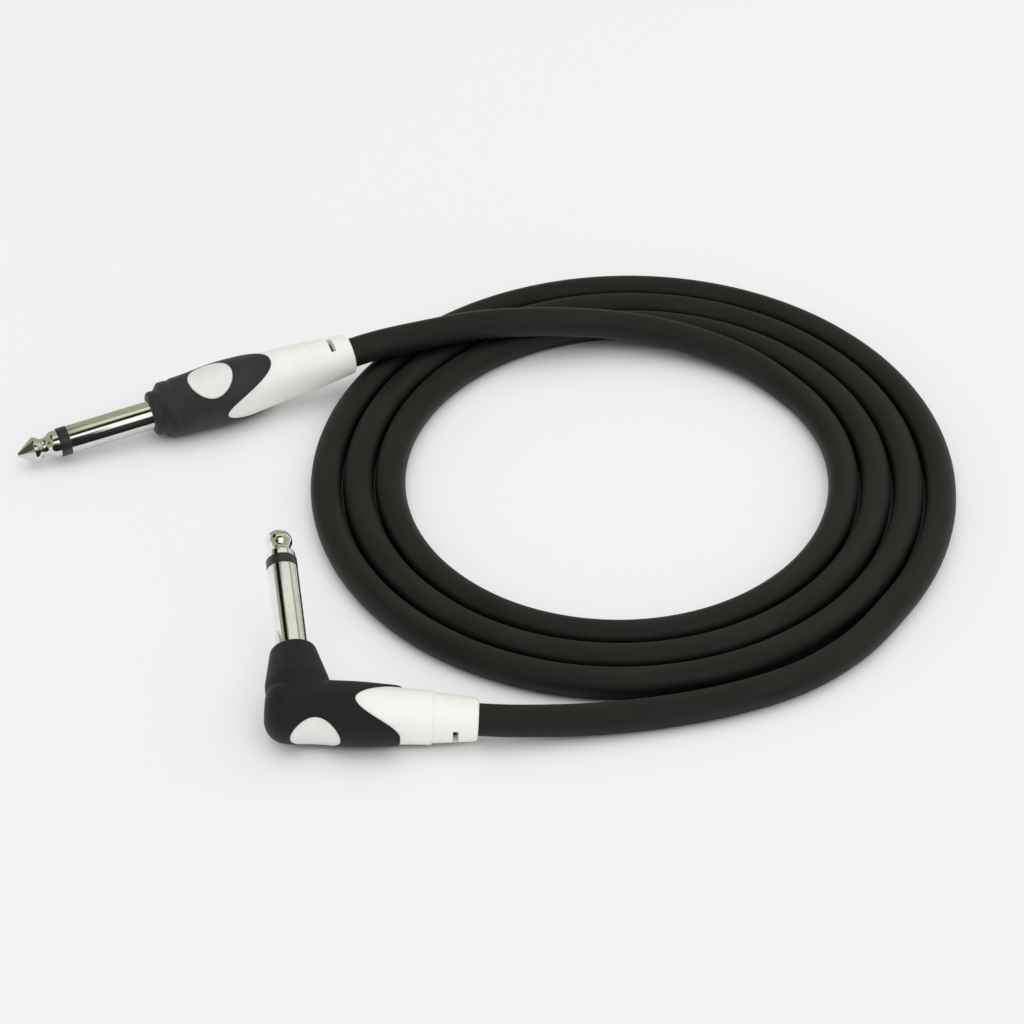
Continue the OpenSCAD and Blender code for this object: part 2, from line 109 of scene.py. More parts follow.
class Sock:
    """One value in a shader tree, which can be used in Python expressions."""

    def __init__(self, shade: "Shade", socket: bpy.types.NodeSocket) -> None:
        """Keep the tree and the output socket."""
        self.shade = shade
        self.socket = socket

    def _math(self, operation: str, *values: "Value") -> "Sock":
        """Add a Math node that works on the given values."""
        return self.shade.node("ShaderNodeMath", {"operation": operation}, dict(enumerate(values)))

    def __add__(self, other: "Value") -> "Sock":
        """Return self + other."""
        return self._math("ADD", self, other)

    def __radd__(self, other: "Value") -> "Sock":
        """Return other + self."""
        return self._math("ADD", other, self)

    def __rsub__(self, other: "Value") -> "Sock":
        """Return other - self."""
        return self._math("SUBTRACT", other, self)

    def __mul__(self, other: "Value") -> "Sock":
        """Return self * other."""
        return self._math("MULTIPLY", self, other)

    def __rmul__(self, other: "Value") -> "Sock":
        """Return other * self."""
        return self._math("MULTIPLY", other, self)

    def __pow__(self, other: "Value") -> "Sock":
        """Return self to the power of other."""
        return self._math("POWER", self, other)

    def cos(self) -> "Sock":
        """Return the cosine."""
        return self._math("COSINE", self)

    def sin(self) -> "Sock":
        """Return the sine."""
        return self._math("SINE", self)

    def at_most(self, other: "Value") -> "Sock":
        """Return the lower of the two."""
        return self._math("MINIMUM", self, other)

    def between(self, low: float, high: float) -> "Sock":
        """Rise smoothly from 0 at low to 1 at high.

        Args:
            low: value that gives 0.
            high: value that gives 1.

        Returns:
            The smooth step.
        """
        return self.shade.node(
            "ShaderNodeMapRange",
            {"interpolation_type": "SMOOTHSTEP"},
            {"Value": self, "From Min": low, "From Max": high, "To Min": 0.0, "To Max": 1.0},
        )


Value = Union[Sock, float]
Colour = Union[Sock, tuple[float, float, float, float]]
Owner = Union[bpy.types.Material, bpy.types.World]


def rgb(red: float, green: float, blue: float) -> tuple[float, float, float, float]:
    """Return an opaque linear colour."""
    return (red, green, blue, 1.0)


def scaled(tint: Triple, factor: float) -> tuple[float, float, float, float]:
    """Return an opaque linear colour made darker or lighter by a factor."""
    return rgb(*(factor * part for part in tint))


class Shade:
    """The node tree of a material or of the surroundings, while it is being built."""

    def __init__(self, owner: Owner) -> None:
        """Empty the owner's tree.

        Args:
            owner: the new material or world.
        """
        self.owner = owner
        owner.use_nodes = True
        self.tree = owner.node_tree
        self.tree.nodes.clear()

    def node(
        self,
        kind: str,
        settings: Mapping[str, object] | None = None,
        inputs: Inputs | None = None,
        output: Union[str, int] = 0,
    ) -> Sock:
        """Add one node.

        Args:
            kind: the node's type name.
            settings: properties to set first.
            inputs: values or links, by socket name or index.
            output: the socket to return.

        Returns:
            The chosen output.
        """
        bare = {k: v.socket if isinstance(v, Sock) else v for k, v in (inputs or {}).items()}
        return Sock(self, add_node(self.tree, kind, settings or {}, bare).outputs[output])

    def place(self) -> Sock:
        """Return the point on the object, in metres."""
        return self.node("ShaderNodeTexCoord", output="Object")

    def attribute(self, name: str) -> Sock:
        """Return a mesh attribute as a number."""
        return self.node("ShaderNodeAttribute", {"attribute_name": name}, output="Fac")

    def vector(self, x: Value, y: Value, z: Value) -> Sock:
        """Return a vector made of three numbers."""
        return self.node("ShaderNodeCombineXYZ", inputs={"X": x, "Y": y, "Z": z})

    def openness(self, reach: float) -> Sock:
        """Return how free a place is of others within reach: 1 in the open, 0 in a gap."""
        return self.node("ShaderNodeAmbientOcclusion", inputs={"Distance": reach}, output="AO")

    def rays(self, *kinds: str) -> Sock:
        """Return 1 for rays of the kinds that the Light Path node names, and 0 for others."""
        return sum(self.node("ShaderNodeLightPath", output=kind) for kind in kinds).at_most(1.0)

    def glow(self, colour: Colour, strength: float) -> Sock:
        """Return a shader that glows."""
        return self.node("ShaderNodeEmission", inputs={"Color": colour, "Strength": strength})

    def mix(self, share: Value, first: Sock, second: Sock) -> Sock:
        """Return the first shader at a share of 0 and the second at 1."""
        return self.node("ShaderNodeMixShader", inputs={0: share, 1: first, 2: second})

    def noise(self, where: Sock, scale: float, detail: float = 3.0, rough: float = 0.55) -> Sock:
        """Return smooth random grey.

        Args:
            where: the place it is read at.
            scale: features per unit.
            detail: number of finer layers.
            rough: strength of the finer layers.

        Returns:
            A value around 0.5.
        """
        return self.node(
            "ShaderNodeTexNoise",
            inputs={"Vector": where, "Scale": scale, "Detail": detail, "Roughness": rough},
        )

    def blend(self, factor: Value, first: Colour, second: Colour) -> Sock:
        """Mix two colours.

        Args:
            factor: 0 for the first colour and 1 for the second.
            first: one colour.
            second: the other.

        Returns:
            The mixed colour.
        """
        return self.node(
            "ShaderNodeMix", {"data_type": "RGBA"}, {0: factor, 6: first, 7: second}, output=2
        )

    def bump(self, height: Sock, distance: float, strength: float) -> Sock:
        """Return a normal tilted by a height.

        Args:
            height: 0 to 1.
            distance: depth of the relief in metres.
            strength: share of the effect.

        Returns:
            The normal.
        """
        return self.node(
            "ShaderNodeBump", inputs={"Height": height, "Distance": distance, "Strength": strength}
        )

    def surface(self, **inputs: object) -> bpy.types.Material:
        """Close the tree with a Principled shader.

        Args:
            **inputs: its sockets, with underscores for spaces.

        Returns:
            The finished material.
        """
        named = {key.replace("_", " "): value for key, value in inputs.items()}
        return self.out(self.node("ShaderNodeBsdfPrincipled", inputs=named))

    def out(self, shader: Sock, kind: str = "ShaderNodeOutputMaterial") -> Owner:
        """Send a shader to the output.

        Args:
            shader: the finished shader.
            kind: the output node's type name.

        Returns:
            The material or world that the tree belongs to.
        """
        add_node(self.tree, kind, {}, {"Surface": shader.socket})
        return self.owner


# ---------------------------------------------------------------------- finishes


@dataclass(frozen=True)
class Finish(ABC):
    """What a surface is made of."""

    slot: Slot

    @abstractmethod
    def make(self) -> bpy.types.Material:
        """Build the finish and return its material."""

    def blank(self) -> Shade:
        """Return the empty tree of a new material."""
        return Shade(bpy.data.materials.new(self.slot.value))


@dataclass(frozen=True)
class NickelPlate(Finish):
    """Bright nickel on a turned finger, with hairline tool marks round it."""

    slot: Slot = Slot.PLUG_METAL
    tint: Triple = (0.74, 0.75, 0.72)
    dull: float = 0.9
    marks_per_mm: float = 9.0

    def make(self) -> bpy.types.Material:
        """Build the finish.

        Returns:
            The new material.
        """
        shade = self.blank()
        along = shade.attribute("along")
        marks = shade.noise(shade.vector(along * self.marks_per_mm, 0.0, 0.0), 1.0, 2.0)
        haze = shade.noise(shade.place(), 260.0)
        wipe = shade.noise(shade.place(), 1500.0, 2.0)
        bright, dull = rgb(*self.tint), scaled(self.tint, self.dull)
        return shade.surface(
            Base_Color=shade.blend(haze.between(0.35, 0.75), bright, dull),
            Metallic=1.0,
            Roughness=0.07 + 0.05 * haze + 0.03 * wipe,
            Normal=shade.bump(marks, distance=0.000004, strength=0.5),
        )


@dataclass(frozen=True)
class Nylon(Finish):
    """Black turned nylon between the contacts."""

    slot: Slot = Slot.INSULATOR
    dark: Triple = (0.012, 0.011, 0.014)
    light: Triple = (0.026, 0.024, 0.028)

    def make(self) -> bpy.types.Material:
        """Build the finish.

        Returns:
            The new material.
        """
        shade = self.blank()
        grain = shade.noise(shade.place(), 1800.0)
        return shade.surface(
            Base_Color=shade.blend(grain, rgb(*self.dark), rgb(*self.light)),
            Roughness=0.28 + 0.14 * grain,
            Normal=shade.bump(grain, distance=0.00001, strength=0.6),
        )


@dataclass(frozen=True)
class SoftSkin(Finish):
    """Satin black soft skin moulded over the plug's core, with painted shade that makes it deeper on
    the right-angle plug.
    """

    slot: Slot = Slot.GRIP_BLACK
    dark: Triple = (0.017, 0.0185, 0.020)
    light: Triple = (0.026, 0.028, 0.0305)
    # The next colour is painted shade: a darker copy of the same black for the right-angle plug's
    # grip.
    elbow: Triple = (0.0085, 0.0095, 0.0115)
    elbow_shade_share: float = 0.85
    shade_change_half: float = 0.005

    def make(self) -> bpy.types.Material:
        """Build the finish.

        Returns:
            The new material.
        """
        shade = self.blank()
        where = shade.place()
        # Painted shade: where Y is below 0, on the right-angle plug, the grip turns darker and less
        # glossy.
        side = shade.node("ShaderNodeSeparateXYZ", inputs={"Vector": where}, output="Y")
        near = (side * -1.0).between(-self.shade_change_half, self.shade_change_half)
        cloud = shade.noise(where, 170.0)
        stipple = shade.noise(where, 4200.0, 2.0)
        rub = shade.noise(where, 700.0, 4.0, 0.6)
        return shade.surface(
            Base_Color=shade.blend(
                near * self.elbow_shade_share,
                shade.blend(cloud.between(0.3, 0.7), rgb(*self.dark), rgb(*self.light)),
                rgb(*self.elbow),
            ),
            Roughness=0.5 + 0.1 * rub + 0.06 * stipple,
            Specular_IOR_Level=0.3 - 0.12 * near,
            Sheen_Weight=0.06,
            Sheen_Roughness=0.5,
            Normal=shade.bump(stipple * 0.7 + rub * 0.3, distance=0.000018, strength=0.6),
        )


@dataclass(frozen=True)
class WhiteSkin(Finish):
    """Off-white hard skin, satin, with faint flow marks from the mould."""

    slot: Slot = Slot.SHELL_WHITE
    clean: Triple = (0.89, 0.905, 0.86)
    aged: Triple = (0.85, 0.86, 0.80)

    def make(self) -> bpy.types.Material:
        """Build the finish.

        Returns:
            The new material.
        """
        shade = self.blank()
        where = shade.place()
        cloud = shade.noise(where, 90.0)
        grain = shade.noise(where, 3000.0, 2.0)
        return shade.surface(
            Base_Color=shade.blend(cloud.between(0.35, 0.8), rgb(*self.clean), rgb(*self.aged)),
            Roughness=0.4 + 0.12 * cloud + 0.04 * grain,
            Specular_IOR_Level=0.4,
            Subsurface_Weight=0.06,
            Subsurface_Scale=0.001,
            Normal=shade.bump(grain, distance=0.00001, strength=0.5),
        )


@dataclass(frozen=True)
class PearlInlay(Finish):
    """Plain glossy inlay, a little cooler than the shell."""

    slot: Slot = Slot.BADGE_WHITE
    dark: Triple = (0.75, 0.765, 0.735)
    light: Triple = (0.84, 0.855, 0.825)

    def make(self) -> bpy.types.Material:
        """Build the finish.

        Returns:
            The new material.
        """
        shade = self.blank()
        where = shade.place()
        cloud = shade.noise(where, 420.0, 4.0, 0.6)
        return shade.surface(
            Base_Color=shade.blend(cloud, rgb(*self.dark), rgb(*self.light)),
            Roughness=0.26 + 0.14 * cloud,
            Coat_Weight=0.25,
            Coat_Roughness=0.12,
            Normal=shade.bump(cloud, distance=0.00004, strength=0.5),
        )


@dataclass(frozen=True)
class CableJacket(Finish):
    """Matte black flexible jacket with faint extrusion lines and dust, and painted shade that darkens
    it in gaps.
    """

    slot: Slot = Slot.JACKET
    deep: Triple = (0.0075, 0.0075, 0.0069)
    worn: Triple = (0.0125, 0.0124, 0.0112)
    dust: Triple = (0.045, 0.044, 0.041)
    # The next colour is painted shade, which the jacket fades to where strands lie close.
    gap: Triple = (0.001, 0.001, 0.001)
    dust_share: float = 0.35
    lines_round: float = 9.0
    lines_per_metre: float = 25.0
    patches_per_metre: float = 60.0
    gap_shade_reach: float = 0.006
    gap_shade_gain: float = 1.5
    gap_shade_power: float = 1.4

    def make(self) -> bpy.types.Material:
        """Build the finish.

        Returns:
            The new material.
        """
        shade = self.blank()
        turn = shade.attribute("around") * (2 * math.pi)
        along = shade.attribute("along")
        ring_x, ring_y = turn.cos(), turn.sin()
        line_x, line_y = ring_x * self.lines_round, ring_y * self.lines_round
        lines = shade.noise(shade.vector(line_x, line_y, along * self.lines_per_metre), 1.0)
        patch = shade.noise(shade.vector(ring_x, ring_y, along * self.patches_per_metre), 1.0)
        dust = shade.noise(shade.place(), 2600.0, rough=0.7)
        pores = shade.noise(shade.place(), 5200.0, 2.0)
        worn = shade.blend(patch.between(0.35, 0.75), rgb(*self.deep), rgb(*self.worn))
        specks = dust.between(0.68, 0.8) * self.dust_share
        # Painted shade: where strands lie close, the colour fades to near black and the gloss and
        # sheen fade out.
        free = (shade.openness(self.gap_shade_reach) * self.gap_shade_gain).at_most(1.0) ** self.gap_shade_power
        dusty = shade.blend(specks, worn, rgb(*self.dust))
        return shade.surface(
            Base_Color=shade.blend(free, rgb(*self.gap), dusty),
            Roughness=0.5 + 0.12 * patch + 0.05 * pores,
            Specular_IOR_Level=free * 0.26,
            Sheen_Weight=free * 0.04,
            Sheen_Roughness=0.45,
            Normal=shade.bump(pores * 0.6 + lines * 0.4, distance=0.00002, strength=0.6),
        )


@dataclass(frozen=True)
class PlainMetal(Finish):
    """Inner brass or copper, dulled by handling."""

    slot: Slot = Slot.TAG_BRASS
    tint: Triple = (0.75, 0.56, 0.27)
    dull: float = 0.6

    def make(self) -> bpy.types.Material:
        """Build the finish.

        Returns:
            The new material.
        """
        shade = self.blank()
        tarnish = shade.noise(shade.place(), 700.0, 4.0)
        return shade.surface(
            Base_Color=shade.blend(tarnish, rgb(*self.tint), scaled(self.tint, self.dull)),
            Metallic=1.0,
            Roughness=0.25 + 0.2 * tarnish,
        )


@dataclass(frozen=True)
class PlainPlastic(Finish):
    """Inner moulded plastic."""

    slot: Slot = Slot.MOULD_BLACK
    tint: Triple = (0.03, 0.03, 0.031)
    lighter: float = 1.25

    def make(self) -> bpy.types.Material:
        """Build the finish.

        Returns:
            The new material.
        """
        shade = self.blank()
        grain = shade.noise(shade.place(), 1500.0)
        return shade.surface(
            Base_Color=shade.blend(grain, rgb(*self.tint), scaled(self.tint, self.lighter)),
            Roughness=0.4 + 0.2 * grain,
        )


class Finishes:
    """One material for each slot, made when it is first asked for."""

    def __init__(self, kinds: Sequence[Finish]) -> None:
        """Keep the finishes by slot."""
        self._kinds = {kind.slot: kind for kind in kinds}
        self._made: dict[Slot, bpy.types.Material] = {}

    def of(self, slot: Slot) -> bpy.types.Material:
        """Return the material for a slot."""
        if slot not in self._made:
            self._made[slot] = self._kinds[slot].make()
        return self._made[slot]


FINISHES = Finishes(
    [
        NickelPlate(),
        Nylon(),
        SoftSkin(),
        WhiteSkin(),
        PearlInlay(),
        CableJacket(),
        PlainMetal(),
        PlainMetal(Slot.COPPER, (0.8, 0.42, 0.24)),
        PlainPlastic(),
        PlainPlastic(Slot.CORE_WHITE, (0.8, 0.8, 0.76)),
    ]
)


# ---------------------------------------------------------------------- turned shapes


def ease(share: float) -> float:
    """Return a smooth rise from 0 to 1."""
    return (1 - math.cos(math.pi * min(1.0, max(0.0, share)))) / 2


def swell(x: float, start: Point, end: Point) -> float:
    """Return the radius of a smooth change between two stations.

    Args:
        x: where it is read.
        start: (x, radius) of the first station.
        end: (x, radius) of the second.

    Returns:
        The radius at x.
    """
    return start[1] + (end[1] - start[1]) * ease((x - start[0]) / (end[0] - start[0]))


def filleted(corners: Sequence[tuple[float, ...]], steps: int = 5) -> list[Point]:
    """Round the corners of an outline.

    Args:
        corners: (x, radius) or (x, radius, fillet) for each corner.
        steps: points along each arc.

    Returns:
        The outline as (x, radius) points.
    """
    outline: list[Point] = []
    for index, corner in enumerate(corners):
        here = Vector(corner[:2])
        fillet = corner[2] if len(corner) > 2 else 0.0
        if fillet <= 0 or index in (0, len(corners) - 1):
            outline.append((here.x, here.y))
            continue
        back = (Vector(corners[index - 1][:2]) - here).normalized()
        ahead = (Vector(corners[index + 1][:2]) - here).normalized()
        half = back.angle(ahead) / 2
        reach = fillet / math.tan(half)
        centre = here + (back + ahead).normalized() * (fillet / math.sin(half))
        first = here + back * reach - centre
        sweep = first.angle_signed(here + ahead * reach - centre)
        for step in range(steps + 1):
            spoke = first.copy()
            spoke.rotate(Matrix.Rotation(-sweep * step / steps, 2))
            outline.append((centre.x + spoke.x, centre.y + spoke.y))
    return outline


def around(sides: int) -> list[float]:
    """Return even turns round an axis, in radians."""
    return [2 * math.pi * side / sides for side in range(sides)]


def spin(outline: Sequence[Point], sides: int) -> list[Column]:
    """Repeat one outline of (x, radius) points round the X axis."""
    return [[at(x, r, turn) for x, r in outline] for turn in around(sides)]


def at(x: float, r: float, turn: float) -> Vector:
    """Return a point from its station, radius and turn from +Z."""
    return Vector((x, r * math.sin(turn), r * math.cos(turn)))


# ---------------------------------------------------------------------- meshes


def placed(name: str, data: bpy.types.ID) -> bpy.types.Object:
    """Put a new object in the scene.

    Args:
        name: its name.
        data: its mesh, curve, lamp or camera.

    Returns:
        The object.
    """
    made = bpy.data.objects.new(name, data)
    bpy.context.scene.collection.objects.link(made)
    return made


def baked(work: bmesh.types.BMesh, name: str) -> bpy.types.Mesh:
    """Turn a working mesh into a lasting one.

    Args:
        work: the working mesh, which is freed.
        name: the new mesh's name.

    Returns:
        The mesh.
    """
    mesh = bpy.data.meshes.new(name)
    work.to_mesh(mesh)
    work.free()
    return mesh


def shell_mesh(name: str, columns: Sequence[Column], closed: bool, place: Matrix) -> bpy.types.Mesh:
    """Join outlines that stand round an axis into a skin.

    Args:
        name: the mesh's name.
        columns: one outline for each direction round the axis, in millimetres.
        closed: whether each outline is a loop; if not, it starts and ends on the axis.
        place: carries the mesh to where it lies, in metres.

    Returns:
        The mesh, with the distance along X in an attribute.
    """
    rows = len(columns[0])
    count = len(columns)
    work = bmesh.new()
    along = work.verts.layers.float.new("along")
    grid = []
    for column in columns:
        line = []
        for point in column:
            vert = work.verts.new(point)
            vert[along] = point.x
            line.append(vert)
        grid.append(line)
    for c in range(count):
        near, far = grid[c], grid[(c + 1) % count]
        for r in range(rows if closed else rows - 1):
            after = (r + 1) % rows
            work.faces.new((near[r], near[after], far[after], far[r]))
    bmesh.ops.remove_doubles(work, verts=work.verts, dist=MERGE_GAP)
    bmesh.ops.recalc_face_normals(work, faces=work.faces)
    bmesh.ops.transform(work, matrix=place @ Matrix.Scale(MM, 4), verts=work.verts)
    return baked(work, name)


def cut(base: bpy.types.Mesh, tool: bpy.types.Mesh, name: str) -> bpy.types.Mesh:
    """Take one closed mesh away from another.

    Args:
        base: the mesh that is cut.
        tool: the mesh that cuts.
        name: the result's name.

    Returns:
        The cut mesh.
    """
    body, cutter = placed(name, base), placed(name + "_tool", tool)
    modifier = body.modifiers.new("cut", "BOOLEAN")
    modifier.operation = "DIFFERENCE"
    modifier.solver = "EXACT"
    modifier.object = cutter
    graph = bpy.context.evaluated_depsgraph_get()
    mesh = bpy.data.meshes.new_from_object(body.evaluated_get(graph))
    for made in (body, cutter):
        bpy.data.objects.remove(made)
    return mesh


def joined(meshes: Sequence[bpy.types.Mesh], name: str) -> bpy.types.Mesh:
    """Put several meshes in one.

    Args:
        meshes: what is joined.
        name: the new mesh's name.

    Returns:
        The mesh.
    """
    work = bmesh.new()
    for mesh in meshes:
        work.from_mesh(mesh)
    return baked(work, name)


def dress(piece: bpy.types.Object, slot: Slot, *nodes: str) -> None:
    """Let a piece ride on the body and stand for its nodes.

    Args:
        piece: the finished piece.
        slot: the record's slot for its finish; not used.
        *nodes: the nodes it replaces.
    """
    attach(piece, BODY)
    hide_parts(*nodes)


def clad(mesh: bpy.types.Mesh, prefix: str, part: str, slot: Slot) -> bpy.types.Object:
    """Make a mesh the skin of one node of a plug, shaded smooth except at real edges.

    Args:
        mesh: the mesh, in metres in the part's frame.
        prefix: the plug's name.
        part: the node's name without it.
        slot: the record's slot for its finish.

    Returns:
        The piece.
    """
    mesh.materials.clear()
    mesh.materials.append(FINISHES.of(slot))
    mesh.polygons.foreach_set("use_smooth", [True] * len(mesh.polygons))
    mesh.set_sharp_from_angle(angle=SHARP_ANGLE)
    piece = placed(f"{prefix}_{part}_skin", mesh)
    dress(piece, slot, f"{prefix}_{part}")
    return piece


# ---------------------------------------------------------------------- plugs


@dataclass
class Lie:
    """How a plug lies: its cable mouth, its turns in degrees, and its length to the mouth."""

    mouth: Triple
    roll: float
    pitch: float
    heading: float
    length: float

    def matrix(self) -> Matrix:
        """Carry the plug's own frame to the part's.

        Returns:
            The matrix, in metres.
        """
        turned = (
            Matrix.Rotation(math.radians(self.heading), 4, "Z")
            @ Matrix.Rotation(math.radians(self.pitch), 4, "Y")
            @ Matrix.Rotation(math.radians(self.roll), 4, "X")
        )
        mouth = Matrix.Translation(Vector(self.mouth) * MM)
        return mouth @ turned @ Matrix.Translation((-self.length * MM, 0, 0))

    def way(self) -> Vector:
        """Return the direction out of the mouth."""
        return (self.matrix().to_3x3() @ Vector((1, 0, 0))).normalized()


@dataclass
class Finger(ABC):
    """The standard quarter-inch finger, from its point to the nose of the grip."""

    prefix: str
    place: Matrix
    reach: float
    tip_len: float
    radius: float = 3.175
    ring_len: float = 2.2
    neck_r: float = 2.05
    neck_run: float = 2.0
    shoulder_r: float = 3.0
    shoulder_back: float = 1.2
    rear_edge: float = 0.1
    round_front: float = 0.12
    round_back: float = 0.05
    sunk: float = 0.6
    sides: int = 96
    swell_steps: int = 12

    @abstractmethod
    def head(self) -> list[Point]:
        """Return the outline of the tip's head, from its point to its widest place."""

    def tip_outline(self) -> list[Point]:
        """Outline the tip contact: head, neck, shoulder and flat rear.

        Returns:
            The outline, from the point.
        """
        outline = self.head()
        neck = (outline[-1][0] + self.neck_run, self.neck_r)
        shoulder = (self.tip_len - self.shoulder_back, self.shoulder_r)
        for start, end in ((outline[-1], neck), (neck, shoulder)):
            for step in range(1, self.swell_steps + 1):
                x = start[0] + (end[0] - start[0]) * step / self.swell_steps
                outline.append((x, swell(x, start, end)))
        back, edge = self.tip_len, self.rear_edge
        return outline + [(back - edge, self.shoulder_r), (back, self.shoulder_r - edge), (back, 0)]

    def tube(self, start: float, end: float, round_end: float) -> list[Point]:
        """Outline a plain cylinder with rounded edges.

        Args:
            start: where it starts.
            end: where it ends.
            round_end: radius of its rear edge.

        Returns:
            The outline.
        """
        return filleted([(start, 0), (start, self.radius, self.round_front),
                         (end, self.radius, round_end), (end, 0)])

    def build(self) -> list[bpy.types.Object]:
        """Build the tip, the insulating ring and the sleeve.

        Returns:
            The three pieces.
        """
        ring_end = self.tip_len + self.ring_len
        outlines = {
            "tip_contact": (self.tip_outline(), Slot.PLUG_METAL),
            "tip_insulator": (self.tube(self.tip_len, ring_end, self.round_back), Slot.INSULATOR),
            "sleeve_contact": (self.tube(ring_end, self.reach + self.sunk, 0.0), Slot.PLUG_METAL),
        }
        made = []
        place = self.place @ Matrix.Translation((-self.reach * MM, 0, 0))
        for part, (outline, slot) in outlines.items():
            name = f"{self.prefix}_{part}_skin"
            mesh = shell_mesh(name, spin(outline, self.sides), False, place)
            made.append(clad(mesh, self.prefix, part, slot))
        return made


@dataclass
class ConeFinger(Finger):
    """A finger whose tip ends in a cone with a blunt point."""

    cone_end: float = 3.4
    head_r: float = 2.95

    def head(self) -> list[Point]:
        """Return the outline of the tip's head, from its point to its widest place."""
        return filleted([(0, 0), (0.02, 0.4, 0.25), (self.cone_end + 0.1, self.head_r - 0.06, 0.3),
                         (self.cone_end + 0.45, self.head_r)])


@dataclass
class BallFinger(Finger):
    """A finger whose tip ends in a ball."""

    ball_r: float = 2.75
    ball_steps: int = 24

    def head(self) -> list[Point]:
        """Return the outline of the tip's head, from its point to its widest place."""
        turns = [math.radians(90 * k / self.ball_steps) for k in range(self.ball_steps + 1)]
        return [(self.ball_r * (1 - math.cos(t)), self.ball_r * math.sin(t)) for t in turns]


@dataclass
class PlugSkin(ABC):
    """The two-part skin of a plug: black grip, white shell, collar and badge.

    The border of grip and shell lies at `lobe` on the flanks and at `lap` above and below,
    and swings from one to the other as it climbs towards the height `lap_high`.  The grip
    stands `proud` of the shell, which ends at `seam`, where the collar starts.
    """

    prefix: str
    lie: Lie
    lobe: float
    lap: float
    lap_high: float
    proud: float
    seam: float
    badge_x: float
    collar_r: float
    mouth_r: float
    hollow: float
    place: Matrix = field(init=False)
    lobe_turn: float = 78.0
    edge: float = 0.22
    edge_lead: float = 1.0
    front_gap: float = 0.1
    overlap: float = 0.02
    core_r: float = 4.65
    cable_r: float = 3.25
    shank_r: float = 2.9
    badge_r: float = 5.0
    badge_sink: float = 0.1
    badge_t: float = 1.2
    badge_fall: float = 0.14
    fall_from: float = 0.93
    fall_width: float = 0.07
    dish: float = 0.12
    dish_from: float = 0.86
    dish_width: float = 0.1
    well_floor: float = 3.6
    well_clear: float = 4.0
    window_at: float = 4.4
    window_len: float = 1.1
    window_w: float = 3.8
    seam_round: float = 0.25
    collar_ease: float = 0.1
    sides: int = 180
    round_sides: int = 144
    badge_sides: int = 96
    grip_steps: int = 40
    shell_steps: int = 44
    border_rounds: int = 12
    station_gap: float = 0.4

    def __post_init__(self) -> None:
        """Work out where the plug lies."""
        self.place = self.lie.matrix()

    @abstractmethod
    def skin(self, x: float) -> float:
        """Return the grip's radius at a station."""

    @abstractmethod
    def nose(self) -> list[Point]:
        """Return the grip's outline from its front to where the border starts."""

    @abstractmethod
    def shell_r(self, x: float) -> float:
        """Return the white shell's radius at a station."""

    def title(self, part: str) -> str:
        """Return the name of a skin of this plug."""
        return f"{self.prefix}_{part}_skin"

    def border(self, turn: float) -> float:
        """Find where grip and shell meet in one direction round the axis.

        Args:
            turn: angle from the badge side.

        Returns:
            The distance along X.
        """
        x = self.lobe
        # The grip's radius there depends on where the border lies, so it is found in rounds.
        for _ in range(self.border_rounds):
            height = min(1.0, abs(self.skin(x) * math.cos(turn)) / self.lap_high)
            share = math.degrees(math.asin(height)) / self.lobe_turn
            x = self.lobe + (self.lap - self.lobe) * ease(share)
        return x

    def grip_columns(self) -> list[Column]:
        """Outline the grip all round, each outline with a rounded edge at the border.

        Returns:
            The closed outlines.
        """
        start = self.lobe - self.edge_lead
        front = [(x, r) for x, r in self.nose() if x < start - self.front_gap]
        turns = around(self.sides)
        ends = [self.border(turn) for turn in turns]
        rim = [at(x, self.skin(x), turn) for x, turn in zip(ends, turns)]
        columns = []
        for index, turn in enumerate(turns):
            tangent = (rim[(index + 1) % self.sides] - rim[index - 1]).normalized()
            outward = Vector((0, math.sin(turn), math.cos(turn)))
            ahead = tangent.cross(outward).normalized()
            if ahead.x < 0:
                ahead.negate()
            column = [at(x, r, turn) for x, r in front]
            last = rim[index] - ahead * self.edge
            for step in range(self.grip_steps + 1):
                x = start + (last.x - start) * step / self.grip_steps
                share = (step / self.grip_steps) ** 4
                column.append(at(x, self.skin(x), turn).lerp(last, share))
            for step in range(1, ARC_STEPS + 1):
                bend = math.pi / 2 * step / ARC_STEPS
                column.append(
                    rim[index]
                    - ahead * self.edge * (1 - math.sin(bend))
                    - outward * self.edge * (1 - math.cos(bend))
                )
            column += [at(x, self.core_r, turn) for x in (ends[index], self.hollow)]
            columns.append(column)
        return columns

    def shell_columns(self) -> list[Column]:
        """Outline the white shell all round, from the border to the seam.

        Returns:
            The closed outlines.
        """
        columns = []
        end = self.seam - self.seam_round
        for turn in around(self.sides):
            start = self.border(turn) - self.overlap
            outline = [(start, self.core_r)]
            for step in range(self.shell_steps + 1):
                x = start + (end - start) * step / self.shell_steps
                outline.append((x, self.shell_r(x)))
            for step in range(1, ARC_STEPS + 1):
                bend = math.pi / 2 * step / ARC_STEPS
                r = self.shell_r(end) - self.seam_round * (1 - math.cos(bend))
                outline.append((end + self.seam_round * math.sin(bend), r))
            outline.append((self.seam, self.core_r))
            columns.append([at(x, r, turn) for x, r in outline])
        return columns

    def badge_point(self, share: float, turn: float) -> Vector:
        """Find a point of the badge's face, which is dished and falls off at its rim.

        Args:
            share: 0 at its middle and 1 at its rim.
            turn: direction in the face.

        Returns:
            The point, in the plug's frame.
        """
        x = self.badge_x + self.badge_r * share * math.cos(turn)
        y = self.badge_r * share * math.sin(turn)
        fall = self.badge_fall * max(0.0, (share - self.fall_from) / self.fall_width) ** 2
        radius = self.skin(x) - (self.badge_sink + fall)
        point = Vector((x, y, math.sqrt(radius * radius - y * y)))
        point.z -= self.dish * ease((self.dish_from - share) / self.dish_width)
        return point

    def badge_mesh(self) -> bpy.types.Mesh:
        """Build the inlaid badge.

        Returns:
            The mesh.
        """
